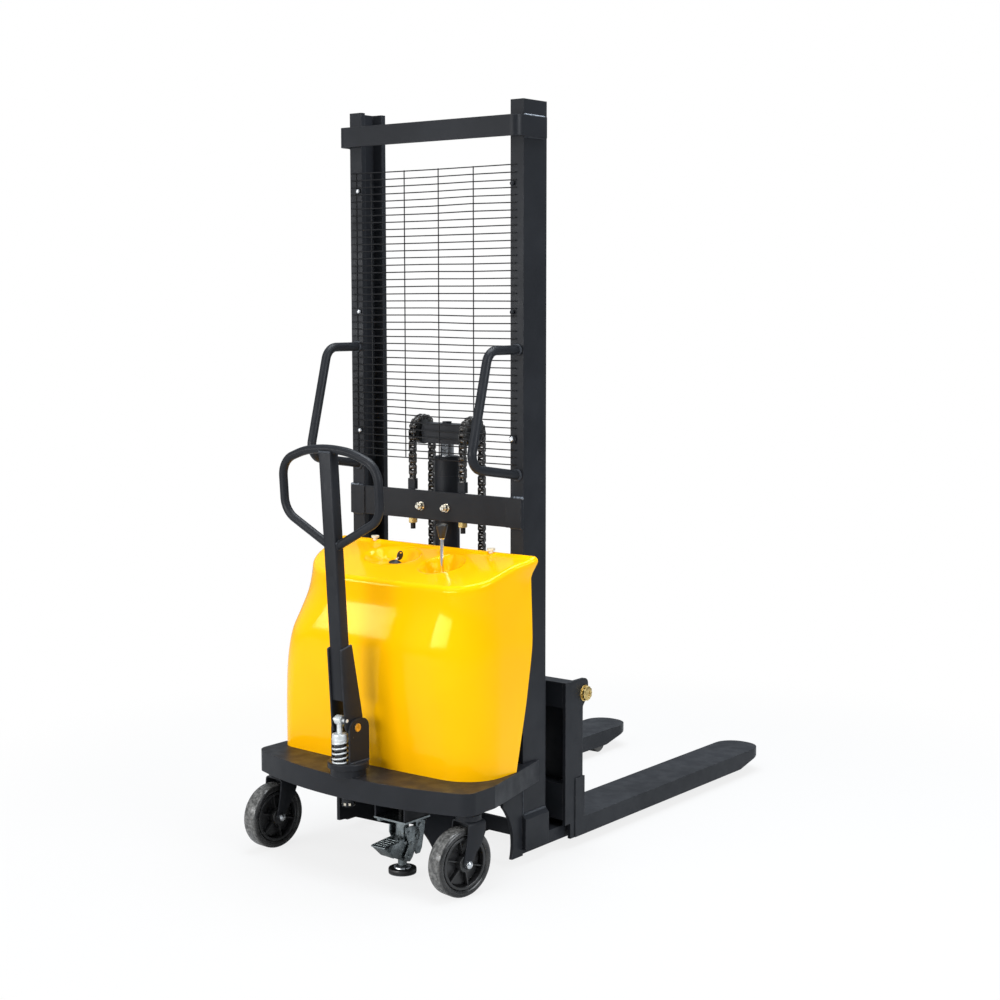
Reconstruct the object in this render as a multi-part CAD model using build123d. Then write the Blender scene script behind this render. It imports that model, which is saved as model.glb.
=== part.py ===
from build123d import *
import math
import os

# Electric stacker, millimetres. X points right, Y forward to the fork tips, Z up.
# Y is measured from the rear face of the mast posts; the whole object is centred on Y at the end.

# Fits
RUN_FIT = 0.05        # radial clearance of a turning or sliding shaft
SIDE_GAP = 0.5        # end play beside a turning wheel

# Mast posts
POST_OUT = 307.5      # half width over the posts
POST_FLANGE = 43.0    # channel width across the mast
POST_WEB = 10.0
POST_WALL = 16.0      # thickness of a channel flange
POST_DEPTH = 101.0
POST_TOP = 2047.0
POST_IN = POST_OUT - POST_FLANGE
WEB_IN = POST_OUT - POST_WEB
GUIDE_Y = POST_DEPTH / 2

# Top strap
STRAP_T = 10.0
STRAP_REAR = -41.0
STRAP_DROP = 43.0     # strap's upper edge below the post tops
STRAP_H = 54.0
STRAP_Z = (POST_TOP - STRAP_DROP - STRAP_H, POST_TOP - STRAP_DROP)
STRAP_BEND = 25.0
STRAP_FRONT = 89.0

# Lower crossbar that holds the cylinder
BAR_Z = (920.0, 1000.0)
BAR_T = 10.0
BAR_STEP = 4.0        # how far the middle stands forward of the end tabs

# Mesh guard
MESH_WIRE = 3.0
MESH_X = (-302.0, 285.0)
MESH_Z = (1089.0, 1879.0)
MESH_ROWS = 40
MESH_FIRST_X = -284.0
MESH_SECOND_X = -227.0
MESH_PITCH_X = 122.25
MESH_COLUMNS = 5
MESH_BOLT_X = 274.0
MESH_BOLT_ROWS = (3, 20, 37)
MESH_BOLT_R = 4.0
MESH_BOLT_DEPTH = 12.0
MESH_WASHER_R = 11.0

# Grab handles
GRAB_X = 286.0
GRAB_R = 12.5
GRAB_BEND = 42.0
GRAB_TOP_Z = 1395.0
GRAB_LOW_Z = 1062.0
GRAB_KNEE_Y = -121.0
GRAB_ELBOW = (-200.0, 1093.0)

# Straddle legs and base
LEG_IN = 205.0
LEG_Z = (28.0, 64.0)
LEG_WALL = 8.0
LEG_END = 1155.0
GUSSET_Z = 23.0
GUSSET_REAR = -86.0
GUSSET_FOOT = -49.0
GUSSET_SHOULDER = 176.0
DOUBLER_T = 13.0
DOUBLER_Z = (40.0, 135.0)
DOUBLER_LAP = 4.0      # how far the doubler reaches back over the gusset
BEAM_Z = (77.0, 119.0)
BEAM_T = 10.0
INNER_GUSSET_X = 119.0
INNER_GUSSET_T = 10.0
INNER_GUSSET_Z = 133.0
INNER_GUSSET_Y = -150.0
INNER_GUSSET_HOLLOW = (7.5, 1.5)   # how far the middle of its lower edge is off the straight line
LEFT_GUSSET_REAR = -275.0
LEFT_GUSSET_Z = 109.0
LEFT_GUSSET_KNEE = (-215.0, 105.0)
LEFT_GUSSET_HEEL = (-60.0, 45.0)
FOOT_T = 24.0         # plate under the cylinder
FOOT_HALF = 124.0
LOAD_ROLLER_R = 34.0
LOAD_ROLLER_Y = 1110.0
LOAD_AXLE_R = 10.0
LOAD_ROLLER_OUT = 277.0
LOAD_COLLAR_R = 15.0
LOAD_FLOOR = 22.0     # lower edge of the cheeks beside the load roller

# Tray
TRAY_TOP = 277.0
TRAY_T = 5.0
TRAY_SKIRT = 218.0
TRAY_HALF = 381.0
TRAY_CORNER_Y = -320.0
TRAY_BULGE_Y = -390.0
TRAY_TAPER_Y = -215.0
TRAY_END_Y = 64.0
TRAY_END_X = 313.0
TRAY_CORNER_R = 40.0
TRAY_UNDER = TRAY_TOP - TRAY_T

# Lift cylinder
CYL_Y = 53.0
CYL_R = 35.0
CYL_BORE = 29.0
CYL_FLOOR = 20.0
CYL_JOINT = 1040.0    # line between barrel and gland
CYL_TOP = 1095.0
COLLAR_R = 39.0
COLLAR_Z = (942.0, 972.0)
ROD_R = 19.0
PISTON_Z = 120.0
PISTON_H = 40.0
UBOLT_R = 6.0
UBOLT_TAIL = 20.0
CLAMP_Z = 957.0

# Crosshead, chain wheels and chains
HEAD_Z = (1130.0, 1185.0)
HEAD_HALF = 70.0
HEAD_DEPTH = 50.0
CHAIN_X = 90.5
CHAIN_PITCH_R = 41.5
CHAIN_W = 22.0
CHAIN_T = 12.0
WHEEL_Z = 1160.0
CHAIN_WHEEL_W = 18.0
WHEEL_AXLE_R = 12.0
ANCHOR_R = 7.0
ANCHOR_TOP = 1030.0
ANCHOR_LOW = 888.0
LUG_Z = 187.0

# Fork carriage
CARRIAGE_OUT = 330.0
CARRIAGE_T = 10.0
CARRIAGE_Z = (71.0, 474.0)
CARRIAGE_REAR = 165.0
CARRIAGE_FRONT = 210.0
TOP_BAR_H = 71.0
TOP_BAR_Z = (CARRIAGE_Z[1] - TOP_BAR_H, CARRIAGE_Z[1])
LOW_BAR_Z = (85.0, 187.0)
TUBE_WALL = 6.0
SIDE_FRONT = 247.0    # front edge of the side plates above the fork shanks
EAR_Y = 272.0
EAR_DROP = 7.0        # lower end of the ear's front edge below the shaft
EAR_SLOPE = 30.0
EAR_ROUNDING = 18.0
SHAFT_Y = 254.0
SHAFT_Z = 432.0
SHAFT_R = 15.0
ROLLER_R = 34.0
ROLLER_W = 28.0
ROLLER_Z = (110.0, 400.0)
STUB_R = 15.0
PLATE_T = 16.0
PLATE_OUT = 262.0
PLATE_REAR = 20.0

# Forks
FORK_OUT = 332.5
FORK_IN = 190.0
FORK_Z = (27.0, 78.0)
FORK_TOP_T = 8.0
FORK_WALL = 6.0
FORK_TIP = 1268.0
FORK_TIP_R = 66.0
FORK_TIP_Z = 60.0
FORK_TAPER = 1120.0
SHANK_Y = 254.0
SHANK_Z = (FORK_Z[0], 196.0)
UPRIGHT_Y = 240.0
SLEEVE_R = 22.0

# Casters
CASTER_INSET = 41.0   # swivel axis inside the tray's edge
CASTER_X = TRAY_HALF - CASTER_INSET
CASTER_Y = -274.0
CASTER_TURN = (-10.0, -4.0)   # how far the right and left caster stand turned, degrees
CASTER_TRAIL = 30.0
HEAD_R = 23.0
WHEEL_R = 90.0
TYRE_W = 50.0
TYRE_T = 20.0
HUB_R = WHEEL_R - TYRE_T
HUB_W = 46.0
HUB_RIM = 10.0
HUB_RECESS = 16.0
HUB_BOSS_R = 20.0
HUB_RIBS = 8
HUB_RIB_T = 5.0
YOKE_ROOM = 17.0      # from the wheel's top to the yoke's top
YOKE_TOP = 2 * WHEEL_R + YOKE_ROOM
YOKE_T = 5.0
YOKE_GAP = 58.0
YOKE_PLATE_R = 34.0
YOKE_EYE_R = 17.0
AXLE_R = 8.0
KINGPIN_R = 8.0

# Floor lock
LOCK_X = 119.0
LOCK_Y = -281.0
LOCK_PLATE = (110.0, 100.0)
LOCK_PLATE_Z = 165.0
LOCK_PLATE_T = 5.0
LOCK_BOX_W = 106.0
LOCK_BOX_T = 4.0
PLUNGER_R = 12.0
GUIDE_R = 18.0
GUIDE_LOW = 110.0
PAD_R = 37.0
PAD_H = 14.0
PAD_LIFT = 12.0       # pad above the floor when the lock is released
PLUNGER_TOP = 205.0
PEDAL_W = 47.0
PEDAL_ARM_T = 4.0
PEDAL_Y = (-388.0, -325.0)
PEDAL_Z = (96.0, 118.0)
LUG_X = 25.0
LUG_T = 5.0
PEDAL_PIVOT = (-244.0, 140.0)
PEDAL_PIN_R = 5.0

# Tiller
TURN_Y = -360.0
TURN_R = 55.0
TURN_Z = (298.0, 314.0)
TURN_BASE_R = 47.5
PIVOT_R = 12.0
PIVOT_BOSS_Z = 205.0
EAR_IN = 27.5
EAR_T = 6.0
EAR_Y_RANGE = (-389.0, -314.0)
EAR_TOP = 430.0
EAR_ROUND = 28.0
PIN_Y = -360.0
PIN_Z = 407.5
PIN_R = 8.0
SPRING_Y = -391.0
SPRING_R = 19.3       # coil centre line
SPRING_WIRE = 2.5     # wire radius
SPRING_TURNS = 4
SPRING_TOP = 373.0
CAP_Z = (373.0, 394.0)
CAP_R = 21.0
PISTON_R = 6.5
PISTON_LOW = 345.0
SLEEVE_TUBE_R = 12.0
SLEEVE_TOP = 342.0
PRESS_R = 12.5
PRESS_Z = 429.0
LEAN = 3.8            # backward lean of the tiller, degrees
TUBE_X = 42.0
TUBE_D = 32.0
TUBE_BACK = 15.0      # tube axis behind the pin
TUBE_LOW = 76.0       # lower tube end above the pin, along the tiller
TUBE_HIGH = 734.0
CHEEK_T = 5.0
CHEEK_HIGH = 213.0
CHEEK_FLARE = 31.0
TUBE_T = 4.0
LOOP_R = 11.5
LOOP_HALF = 168.0
LOOP_BEND = 60.0
LOOP_LOW = 479.0      # where the loop's two arms would meet
LOOP_IN = 12.0        # where they end inside the tube
LOOP_KNEE = 567.0
LOOP_SHOULDER = 702.0
LOOP_TOP = 742.0
LOOP_CROWN = (80.0, 735.0)  # bend between the middle of the loop and its shoulder

# Cover
COVER_T = 5.0
COVER_FOOT = TRAY_TOP
COVER_FRONT = -4.0
COVER_FRONT_Z = 848.0
COVER_REAR_Z = 780.0
PAST = 20.0           # how far the filling of the cover is drawn past its front edge
FRONT_FOOT_Y = -53.0
FRONT_KNEE_Y = -12.0
FRONT_KNEE_Z = 480.0
COVER_LEVELS = (
    # height, right half, left half, rear, right corner, left corner
    (277.0, 343.0, 365.0, -258.0, 110.0, 45.0),
    (420.0, 348.0, 367.0, -268.0, 122.0, 72.0),
    (560.0, 350.0, 363.0, -276.0, 142.0, 112.0),
    (680.0, 350.0, 357.0, -276.0, 150.0, 178.0),
    (780.0, 348.0, 352.0, -262.0, 140.0, 212.0),
    (860.0, 346.0, 346.0, -245.0, 132.0, 212.0),
)
COVER_BULGE = 12.0    # how far the rear bows out between its corners
CREASE_R = 20.0       # rounding between the walls and the top
SCOOP_SOFT = 9.0      # rounding at the floor of a scoop
MOUTH_R = 6.0         # rounding at the rim of a scoop
COVER_CLEAR = 500.0   # reach of the blocks that trim the cover
FLANGE_HALF = 358.0
FLANGE_D = 22.0
FLANGE_T = 12.0
SCREW_X = 210.0
SCREW_R = 5.0
SCREW_HEAD_R = 11.0
KEY_SCOOP = (-75.0, -95.0, 85.0, 58.0, 803.0)
LEVER_SCOOP = (118.0, -112.0, 55.0, 60.0, 788.0)
KEY_X = -68.0
KEY_Y = -92.0
LEVER_X = 112.0
LEVER_Y = -104.0
LEVER_PIVOT_Z = 760.0
LEVER_R = 5.0
LEVER_TOP = 927.0
LEVER_PIN_R = 4.0
LEVER_SLOT = 16.0
KNOB_R = 17.0
KNOB_LOW_R = 7.0
KNOB_H = 40.0
SWITCH_R = 11.0
SWITCH_H = 6.0
KEY_R = 3.0

# Inside the cover
BATTERY_X = (-260.0, 80.0)
BATTERY_Y = (-222.0, -50.0)
BATTERY_TOP = 500.0
TANK_X = (140.0, 295.0)
TANK_Y = (-205.0, -55.0)
TANK_TOP = 430.0
PUMP_H = 70.0
MOTOR_R = 57.0
MOTOR_H = 170.0


def block(x, y, z):
    """Box between three pairs of limits."""
    size = Box(x[1] - x[0], y[1] - y[0], z[1] - z[0])
    return Pos((x[0] + x[1]) / 2, (y[0] + y[1]) / 2, (z[0] + z[1]) / 2) * size


def rod_z(x, y, radius, low, high):
    """Upright cylinder."""
    return Pos(x, y, (low + high) / 2) * Cylinder(radius, high - low)


def rod_x(y, z, radius, left, right):
    """Cylinder along X."""
    return Pos((left + right) / 2, y, z) * Rot(0, 90, 0) * Cylinder(radius, right - left)


def rod_y(x, z, radius, rear, front):
    """Cylinder along Y."""
    return Pos(x, (rear + front) / 2, z) * Rot(90, 0, 0) * Cylinder(radius, front - rear)


def hex_z(x, y, across, low, high):
    """Upright hexagon, for nuts and bolt heads."""
    outline = Pos(x, y, low) * RegularPolygon(across / math.sqrt(3), 6)
    return extrude(outline, amount=high - low)


def hex_y(x, z, across, rear, front):
    """Hexagon along Y."""
    outline = Plane((x, rear, z), x_dir=(1, 0, 0), z_dir=(0, 1, 0)) * RegularPolygon(across / math.sqrt(3), 6)
    return extrude(outline, amount=front - rear)


def hex_x(y, z, across, left, right):
    """Hexagon along X."""
    outline = Plane((left, y, z), x_dir=(0, 1, 0), z_dir=(1, 0, 0)) * RegularPolygon(across / math.sqrt(3), 6)
    return extrude(outline, amount=right - left)


def plate_x(points, left, right):
    """Flat plate of a side outline (Y, Z), between two X limits."""
    face = make_face(Plane.YZ * Polyline(*points, close=True))
    return Pos(left, 0, 0) * extrude(face, amount=right - left, dir=(1, 0, 0))


def both(shape):
    """The shape and its mirror image across the middle."""
    return [shape, mirror(shape, about=Plane.YZ)]


def group(shapes):
    """Separate solids kept in one node."""
    solids = []
    for shape in shapes:
        solids.extend(shape.solids())
    return Compound(children=solids)


def plate_edges(edges, left, right):
    """Flat plate whose side outline is made of drawn (Y, Z) edges, between two X limits."""
    face = make_face(Plane.YZ * Curve(children=edges))
    return Pos(left, 0, 0) * extrude(face, amount=right - left, dir=(1, 0, 0))


def mesh_pitch():
    return (MESH_Z[1] - MESH_Z[0]) / MESH_ROWS


def mesh_bolt_heights():
    """Bolts pass through the middle of a gap between two wires."""
    return [MESH_Z[0] + (row + 0.5) * mesh_pitch() for row in MESH_BOLT_ROWS]


def mast_post():
    """Right post: a channel with its web outside and blind holes for the mesh bolts."""
    height = (LEG_Z[1], POST_TOP)
    post = block((POST_IN, POST_OUT), (0, POST_DEPTH), height)
    post -= block((POST_IN, WEB_IN), (POST_WALL, POST_DEPTH - POST_WALL), height)
    for z in mesh_bolt_heights():
        post -= rod_y(MESH_BOLT_X, z, MESH_BOLT_R, 0, MESH_BOLT_DEPTH)
    return post


def strap_outline(half, rear, radius):
    """Plan of the strap's outer or inner side, rounded at the two rear bends."""
    outline = Pos(0, (rear + STRAP_FRONT) / 2) * Rectangle(2 * half, STRAP_FRONT - rear)
    return fillet(outline.vertices().group_by(Axis.Y)[0], radius)


def top_strap():
    """Flat bar bent round the back of both posts."""
    outer = strap_outline(POST_OUT + STRAP_T, STRAP_REAR, STRAP_BEND)
    inner = strap_outline(POST_OUT, STRAP_REAR + STRAP_T, STRAP_BEND - STRAP_T)
    return Pos(0, 0, STRAP_Z[0]) * extrude(outer - inner, amount=STRAP_Z[1] - STRAP_Z[0], dir=(0, 0, 1))


def mesh_guard():
    """Wire guard behind the posts, one sheet with a hole for every gap between its wires."""
    middle_x = sum(MESH_X) / 2
    middle_z = sum(MESH_Z) / 2
    wires = []
    for row in range(MESH_ROWS + 1):
        z = MESH_Z[0] + row * mesh_pitch()
        wires.append(Pos(middle_x, z) * Rectangle(MESH_X[1] - MESH_X[0], MESH_WIRE))
    columns = [MESH_FIRST_X]
    for column in range(MESH_COLUMNS):
        columns.append(MESH_SECOND_X + column * MESH_PITCH_X)
    for x in columns:
        wires.append(Pos(x, middle_z) * Rectangle(MESH_WIRE, MESH_Z[1] - MESH_Z[0] + MESH_WIRE))
    sheet = extrude(Plane.XZ * (Sketch() + wires), amount=MESH_WIRE, dir=(0, -1, 0))
    notch = GRAB_R + 1
    for side in (-1, 1):
        limits = sorted((side * (GRAB_X - notch), side * (POST_OUT + 1)))
        sheet -= block(limits, (-MESH_WIRE, 0), (GRAB_TOP_Z - notch, GRAB_TOP_Z + notch))
    return sheet


def mesh_bolts():
    """Bolts with washers that clamp the mesh to the posts."""
    bolts = []
    for z in mesh_bolt_heights():
        bolt = rod_y(MESH_BOLT_X, z, MESH_BOLT_R, -MESH_WIRE, MESH_BOLT_DEPTH)
        bolt += rod_y(MESH_BOLT_X, z, MESH_WASHER_R, -MESH_WIRE - 1.5, -MESH_WIRE)
        bolt += hex_y(MESH_BOLT_X, z, 13, -MESH_WIRE - 7, -MESH_WIRE - 1.5)
        bolts.extend(both(bolt))
    return group(bolts)


def grab_handle():
    """Right bent tube, welded to the rear face of the post at both ends."""
    past = 10.0
    slope = (GRAB_ELBOW[1] - GRAB_LOW_Z) / GRAB_ELBOW[0]
    path = FilletPolyline(
        (GRAB_X, 0, GRAB_TOP_Z),
        (GRAB_X, GRAB_KNEE_Y, GRAB_TOP_Z),
        (GRAB_X, GRAB_ELBOW[0], GRAB_ELBOW[1]),
        (GRAB_X, past, GRAB_LOW_Z + slope * past),
        radius=GRAB_BEND,
    )
    tube = sweep(Plane(path @ 0, z_dir=path % 0) * Circle(GRAB_R), path=path)
    return tube - block((GRAB_X - 30, GRAB_X + 30), (0, 50), (GRAB_LOW_Z - 50, GRAB_LOW_Z + 50))


def leg():
    """Right leg: a channel open below, with the post's rear gusset and outer doubler welded on."""
    inside = (LEG_IN + LEG_WALL, POST_OUT - LEG_WALL)
    shape = block((LEG_IN, POST_OUT), (POST_DEPTH, LEG_END), LEG_Z)
    shape += block((POST_IN, POST_OUT), (0, POST_DEPTH), LEG_Z)
    shape -= block(inside, (POST_DEPTH + LEG_WALL, LEG_END), (LEG_Z[0], LEG_Z[1] - LEG_WALL))
    shape -= block(inside, (LOAD_ROLLER_Y - LOAD_ROLLER_R - 8, LEG_END), LEG_Z)
    y = LOAD_ROLLER_Y
    cheek = [(y - 40, 40), (y - 40, LEG_Z[0]), (y - 16, LOAD_FLOOR)]
    cheek += [(y + 16, LOAD_FLOOR), (y + 40, LEG_Z[0]), (y + 40, 40)]
    for left in (LEG_IN, POST_OUT - LEG_WALL):
        shape += plate_x(cheek, left, left + LEG_WALL)
    shape -= rod_x(y, LOAD_ROLLER_R, LOAD_AXLE_R, LEG_IN, POST_OUT)
    shape += side_gusset()
    doubler = block((POST_OUT, POST_OUT + DOUBLER_T), (-DOUBLER_LAP, POST_DEPTH), DOUBLER_Z)
    edge = doubler.edges().filter_by(Axis.Y).group_by(Axis.Z)[-1].sort_by(Axis.X)[-1]
    return shape + chamfer(edge, DOUBLER_T - 3)


def side_gusset():
    """Plate behind the post with a hollow rear edge, from the floor side up to the tray."""
    waist = (GUSSET_FOOT + 3, (GUSSET_Z + GUSSET_SHOULDER) / 2)
    edges = [
        Line((0, GUSSET_Z), (GUSSET_FOOT, GUSSET_Z)),
        ThreePointArc((GUSSET_FOOT, GUSSET_Z), waist, (GUSSET_REAR, GUSSET_SHOULDER)),
        Polyline((GUSSET_REAR, GUSSET_SHOULDER), (GUSSET_REAR, TRAY_UNDER), (0, TRAY_UNDER), (0, GUSSET_Z)),
    ]
    return plate_edges(edges, WEB_IN, POST_OUT)


def inner_gusset():
    """Plate along the machine from the base beam to the front of the floor lock's bracket."""
    rear = LOCK_Y + LOCK_PLATE[1] / 2
    low = LEG_Z[1] - FOOT_T
    shoulder = (rear, INNER_GUSSET_Z)
    heel = (INNER_GUSSET_Y, low)
    waist = ((rear + INNER_GUSSET_Y) / 2 + INNER_GUSSET_HOLLOW[0], (INNER_GUSSET_Z + low) / 2 + INNER_GUSSET_HOLLOW[1])
    edges = [
        Line((-BEAM_T, low), heel),
        ThreePointArc(heel, waist, shoulder),
        Polyline(shoulder, (rear, TRAY_UNDER), (-BEAM_T, TRAY_UNDER), (-BEAM_T, low)),
    ]
    return plate_edges(edges, INNER_GUSSET_X - INNER_GUSSET_T / 2, INNER_GUSSET_X + INNER_GUSSET_T / 2)


def left_gusset():
    """Left plate along the machine, with a long level rear end and a foot on the beam."""
    low = LEG_Z[1] - FOOT_T
    points = [(-BEAM_T, low), LEFT_GUSSET_HEEL, LEFT_GUSSET_KNEE, (LEFT_GUSSET_REAR, LEFT_GUSSET_Z)]
    points += [(LEFT_GUSSET_REAR, TRAY_UNDER), (-BEAM_T, TRAY_UNDER)]
    return plate_x(points, -INNER_GUSSET_X - INNER_GUSSET_T / 2, -INNER_GUSSET_X + INNER_GUSSET_T / 2)


def base_beam():
    """Cross beam behind the posts, the plate under the cylinder and the two inner gussets."""
    beam = block((-WEB_IN, WEB_IN), (-BEAM_T, 0), BEAM_Z)
    beam += block((-FOOT_HALF, FOOT_HALF), (-BEAM_T, POST_DEPTH), (LEG_Z[1] - FOOT_T, LEG_Z[1]))
    beam += block((-FOOT_HALF, FOOT_HALF), (-BEAM_T, 0), (LEG_Z[1], BEAM_Z[0]))
    return beam + inner_gusset() + left_gusset()


def tray_outline():
    """Plan of the tray: tapered sides, rounded corners and a rear edge that bulges back."""
    right = [(TRAY_END_X, TRAY_END_Y), (TRAY_HALF, TRAY_TAPER_Y), (TRAY_HALF, TRAY_CORNER_Y)]
    left = [(-x, y) for x, y in reversed(right)]
    rear = ThreePointArc(right[-1], (0, TRAY_BULGE_Y), left[0])
    face = make_face(Curve(children=[Polyline(*right), rear, Polyline(*left, right[0])]))
    corners = [v for v in face.vertices() if abs(v.Y - TRAY_CORNER_Y) < 1]
    return fillet(corners, TRAY_CORNER_R)


def tray():
    """Pressed tray with its skirt, the turntable's base disc and boss, and the floor lock's bracket."""
    outline = tray_outline()
    inside = offset(outline, -TRAY_T)
    shape = Pos(0, 0, TRAY_SKIRT) * extrude(outline, amount=TRAY_TOP - TRAY_SKIRT, dir=(0, 0, 1))
    shape -= Pos(0, 0, TRAY_SKIRT) * extrude(inside, amount=TRAY_UNDER - TRAY_SKIRT, dir=(0, 0, 1))
    shape -= block((-POST_OUT, POST_OUT), (0, POST_DEPTH), (TRAY_SKIRT, TRAY_TOP))
    shape += rod_z(0, TURN_Y, TURN_BASE_R, TRAY_TOP, TURN_Z[0] - SIDE_GAP)
    shape += rod_z(0, TURN_Y, PIVOT_R + 6, PIVOT_BOSS_Z, TRAY_UNDER)
    shape -= rod_z(0, TURN_Y, PIVOT_R + RUN_FIT, PIVOT_BOSS_Z, TURN_Z[0])
    half = LOCK_BOX_W / 2
    front = LOCK_Y + LOCK_PLATE[1] / 2
    height = (LOCK_PLATE_Z + LOCK_PLATE_T / 2, TRAY_UNDER)
    depth = (front - LOCK_PLATE[1], front)
    shape += block((LOCK_X - half, LOCK_X + half), (front - LOCK_BOX_T, front), height)
    for x in (LOCK_X - half, LOCK_X + half - LOCK_BOX_T):
        shape += block((x, x + LOCK_BOX_T), depth, height)
    return shape


def load_roller():
    """Right roller in the front end of the leg."""
    left = LEG_IN + LEG_WALL + SIDE_GAP
    right = LOAD_ROLLER_OUT
    roller = rod_x(LOAD_ROLLER_Y, LOAD_ROLLER_R, LOAD_ROLLER_R, left, right)
    roller = chamfer(roller.edges().filter_by(GeomType.CIRCLE), 2)
    return roller - rod_x(LOAD_ROLLER_Y, LOAD_ROLLER_R, LOAD_AXLE_R + RUN_FIT, left, right)


def load_axles():
    """Axles of the load rollers, flush with the outside of the legs, with a collar beside the roller."""
    axle = rod_x(LOAD_ROLLER_Y, LOAD_ROLLER_R, LOAD_AXLE_R, LEG_IN, POST_OUT)
    collar = (LOAD_ROLLER_OUT + SIDE_GAP, POST_OUT - LEG_WALL)
    axle += rod_x(LOAD_ROLLER_Y, LOAD_ROLLER_R, LOAD_COLLAR_R, *collar)
    return group(both(axle))


def chain_rear_y():
    return CYL_Y - CHAIN_PITCH_R


def chain_front_y():
    return CYL_Y + CHAIN_PITCH_R


def clamp_x():
    """Distance of the U-bolt's legs from the middle."""
    return COLLAR_R + UBOLT_R


def cylinder_crossbar():
    """Flat bar across the posts with a stepped middle, the cylinder's saddle and the chain lugs."""
    front = BAR_STEP
    bar = block((-POST_IN + 2, POST_IN - 2), (front - BAR_T, front), BAR_Z)
    for tab in both(block((POST_IN - 8, POST_OUT), (-BAR_T, 0), BAR_Z)):
        bar += tab
    bar += block((-30, 30), (front, CYL_Y - COLLAR_R + 8), COLLAR_Z)
    bar -= rod_z(0, CYL_Y, COLLAR_R, *COLLAR_Z)
    y = chain_rear_y()
    lug = block((CHAIN_X - 16, CHAIN_X + 16), (front, y + ANCHOR_R + 6), (BAR_Z[0], BAR_Z[0] + 40))
    lug -= rod_z(CHAIN_X, y, ANCHOR_R, BAR_Z[0], BAR_Z[0] + 40)
    for part in both(lug):
        bar += part
    for x in (-clamp_x(), clamp_x()):
        bar -= rod_y(x, CLAMP_Z, UBOLT_R, front - BAR_T, front)
    return bar


def u_bolt():
    """U-bolt round the cylinder's collar, with washers and nuts behind the crossbar."""
    x = clamp_x()
    rear = BAR_STEP - BAR_T
    tail = rear - UBOLT_TAIL
    path = Wire([
        Line((x, tail, CLAMP_Z), (x, CYL_Y, CLAMP_Z)),
        ThreePointArc((x, CYL_Y, CLAMP_Z), (0, CYL_Y + x, CLAMP_Z), (-x, CYL_Y, CLAMP_Z)),
        Line((-x, CYL_Y, CLAMP_Z), (-x, tail, CLAMP_Z)),
    ])
    bolt = sweep(Plane((x, tail, CLAMP_Z), z_dir=(0, 1, 0)) * Circle(UBOLT_R), path=path)
    for side in (-x, x):
        bolt += rod_y(side, CLAMP_Z, 12, rear - 2, rear)
        bolt += hex_y(side, CLAMP_Z, 19, rear - 12, rear - 2)
    return bolt


def chain_anchors():
    """Threaded rods that hold the rear chain ends to the crossbar's lugs, with nuts below."""
    y = chain_rear_y()
    rod = rod_z(CHAIN_X, y, ANCHOR_R, ANCHOR_LOW, BAR_Z[1] + 5)
    rod += hex_z(CHAIN_X, y, 22, BAR_Z[0] - 14, BAR_Z[0])
    rod += block((CHAIN_X - 12, CHAIN_X + 12), (y - 7, y + 7), (BAR_Z[1], ANCHOR_TOP))
    return group(both(rod))


def lift_cylinder():
    """Barrel standing on the base plate, with the collar that the U-bolt clamps."""
    barrel = rod_z(0, CYL_Y, CYL_R, LEG_Z[1], CYL_JOINT)
    barrel += rod_z(0, CYL_Y, COLLAR_R, *COLLAR_Z)
    return barrel - rod_z(0, CYL_Y, CYL_BORE, LEG_Z[1] + CYL_FLOOR, CYL_JOINT)


def cylinder_gland():
    """Screwed head of the cylinder, bored for the rod."""
    gland = rod_z(0, CYL_Y, CYL_R, CYL_JOINT, CYL_TOP)
    gland = chamfer(gland.edges().filter_by(GeomType.CIRCLE).group_by(Axis.Z)[-1], 3)
    return gland - rod_z(0, CYL_Y, ROD_R + RUN_FIT, CYL_JOINT, CYL_TOP)


def lift_rod():
    """Chromed rod with the piston on its lower end."""
    rod = rod_z(0, CYL_Y, ROD_R, PISTON_Z, HEAD_Z[0])
    return rod + rod_z(0, CYL_Y, CYL_BORE - RUN_FIT, PISTON_Z, PISTON_Z + PISTON_H)


def crosshead():
    """Block on the rod with a stub axle, spacer and nut for the chain wheel on each side."""
    half = HEAD_DEPTH / 2
    head = block((-HEAD_HALF, HEAD_HALF), (CYL_Y - half, CYL_Y + half), HEAD_Z)
    head += hex_z(0, CYL_Y, 24, HEAD_Z[1], HEAD_Z[1] + 6)
    inner = CHAIN_X - CHAIN_WHEEL_W / 2 - SIDE_GAP
    outer = CHAIN_X + CHAIN_WHEEL_W / 2 + SIDE_GAP
    axle = rod_x(CYL_Y, WHEEL_Z, WHEEL_AXLE_R, HEAD_HALF, outer + 9)
    axle += rod_x(CYL_Y, WHEEL_Z, WHEEL_AXLE_R + 6, HEAD_HALF, inner)
    axle += rod_x(CYL_Y, WHEEL_Z, WHEEL_AXLE_R + 6, outer, outer + 3)
    axle += hex_x(CYL_Y, WHEEL_Z, 32, outer + 3, outer + 13)
    for part in both(axle):
        head += part
    return head


def chain_inside():
    """Inner radius of the chain where it lies on its wheel."""
    return CHAIN_PITCH_R - CHAIN_T / 2


def chain_wheel():
    """Right chain wheel, turning on the crosshead's stub axle."""
    left = CHAIN_X - CHAIN_WHEEL_W / 2
    right = CHAIN_X + CHAIN_WHEEL_W / 2
    wheel = rod_x(CYL_Y, WHEEL_Z, chain_inside() - SIDE_GAP, left, right)
    return wheel - rod_x(CYL_Y, WHEEL_Z, WHEEL_AXLE_R + RUN_FIT, left, right)


def chain_run(y, low, high):
    """Straight part of the right chain."""
    half = CHAIN_W / 2
    return block((CHAIN_X - half, CHAIN_X + half), (y - CHAIN_T / 2, y + CHAIN_T / 2), (low, high))


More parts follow.
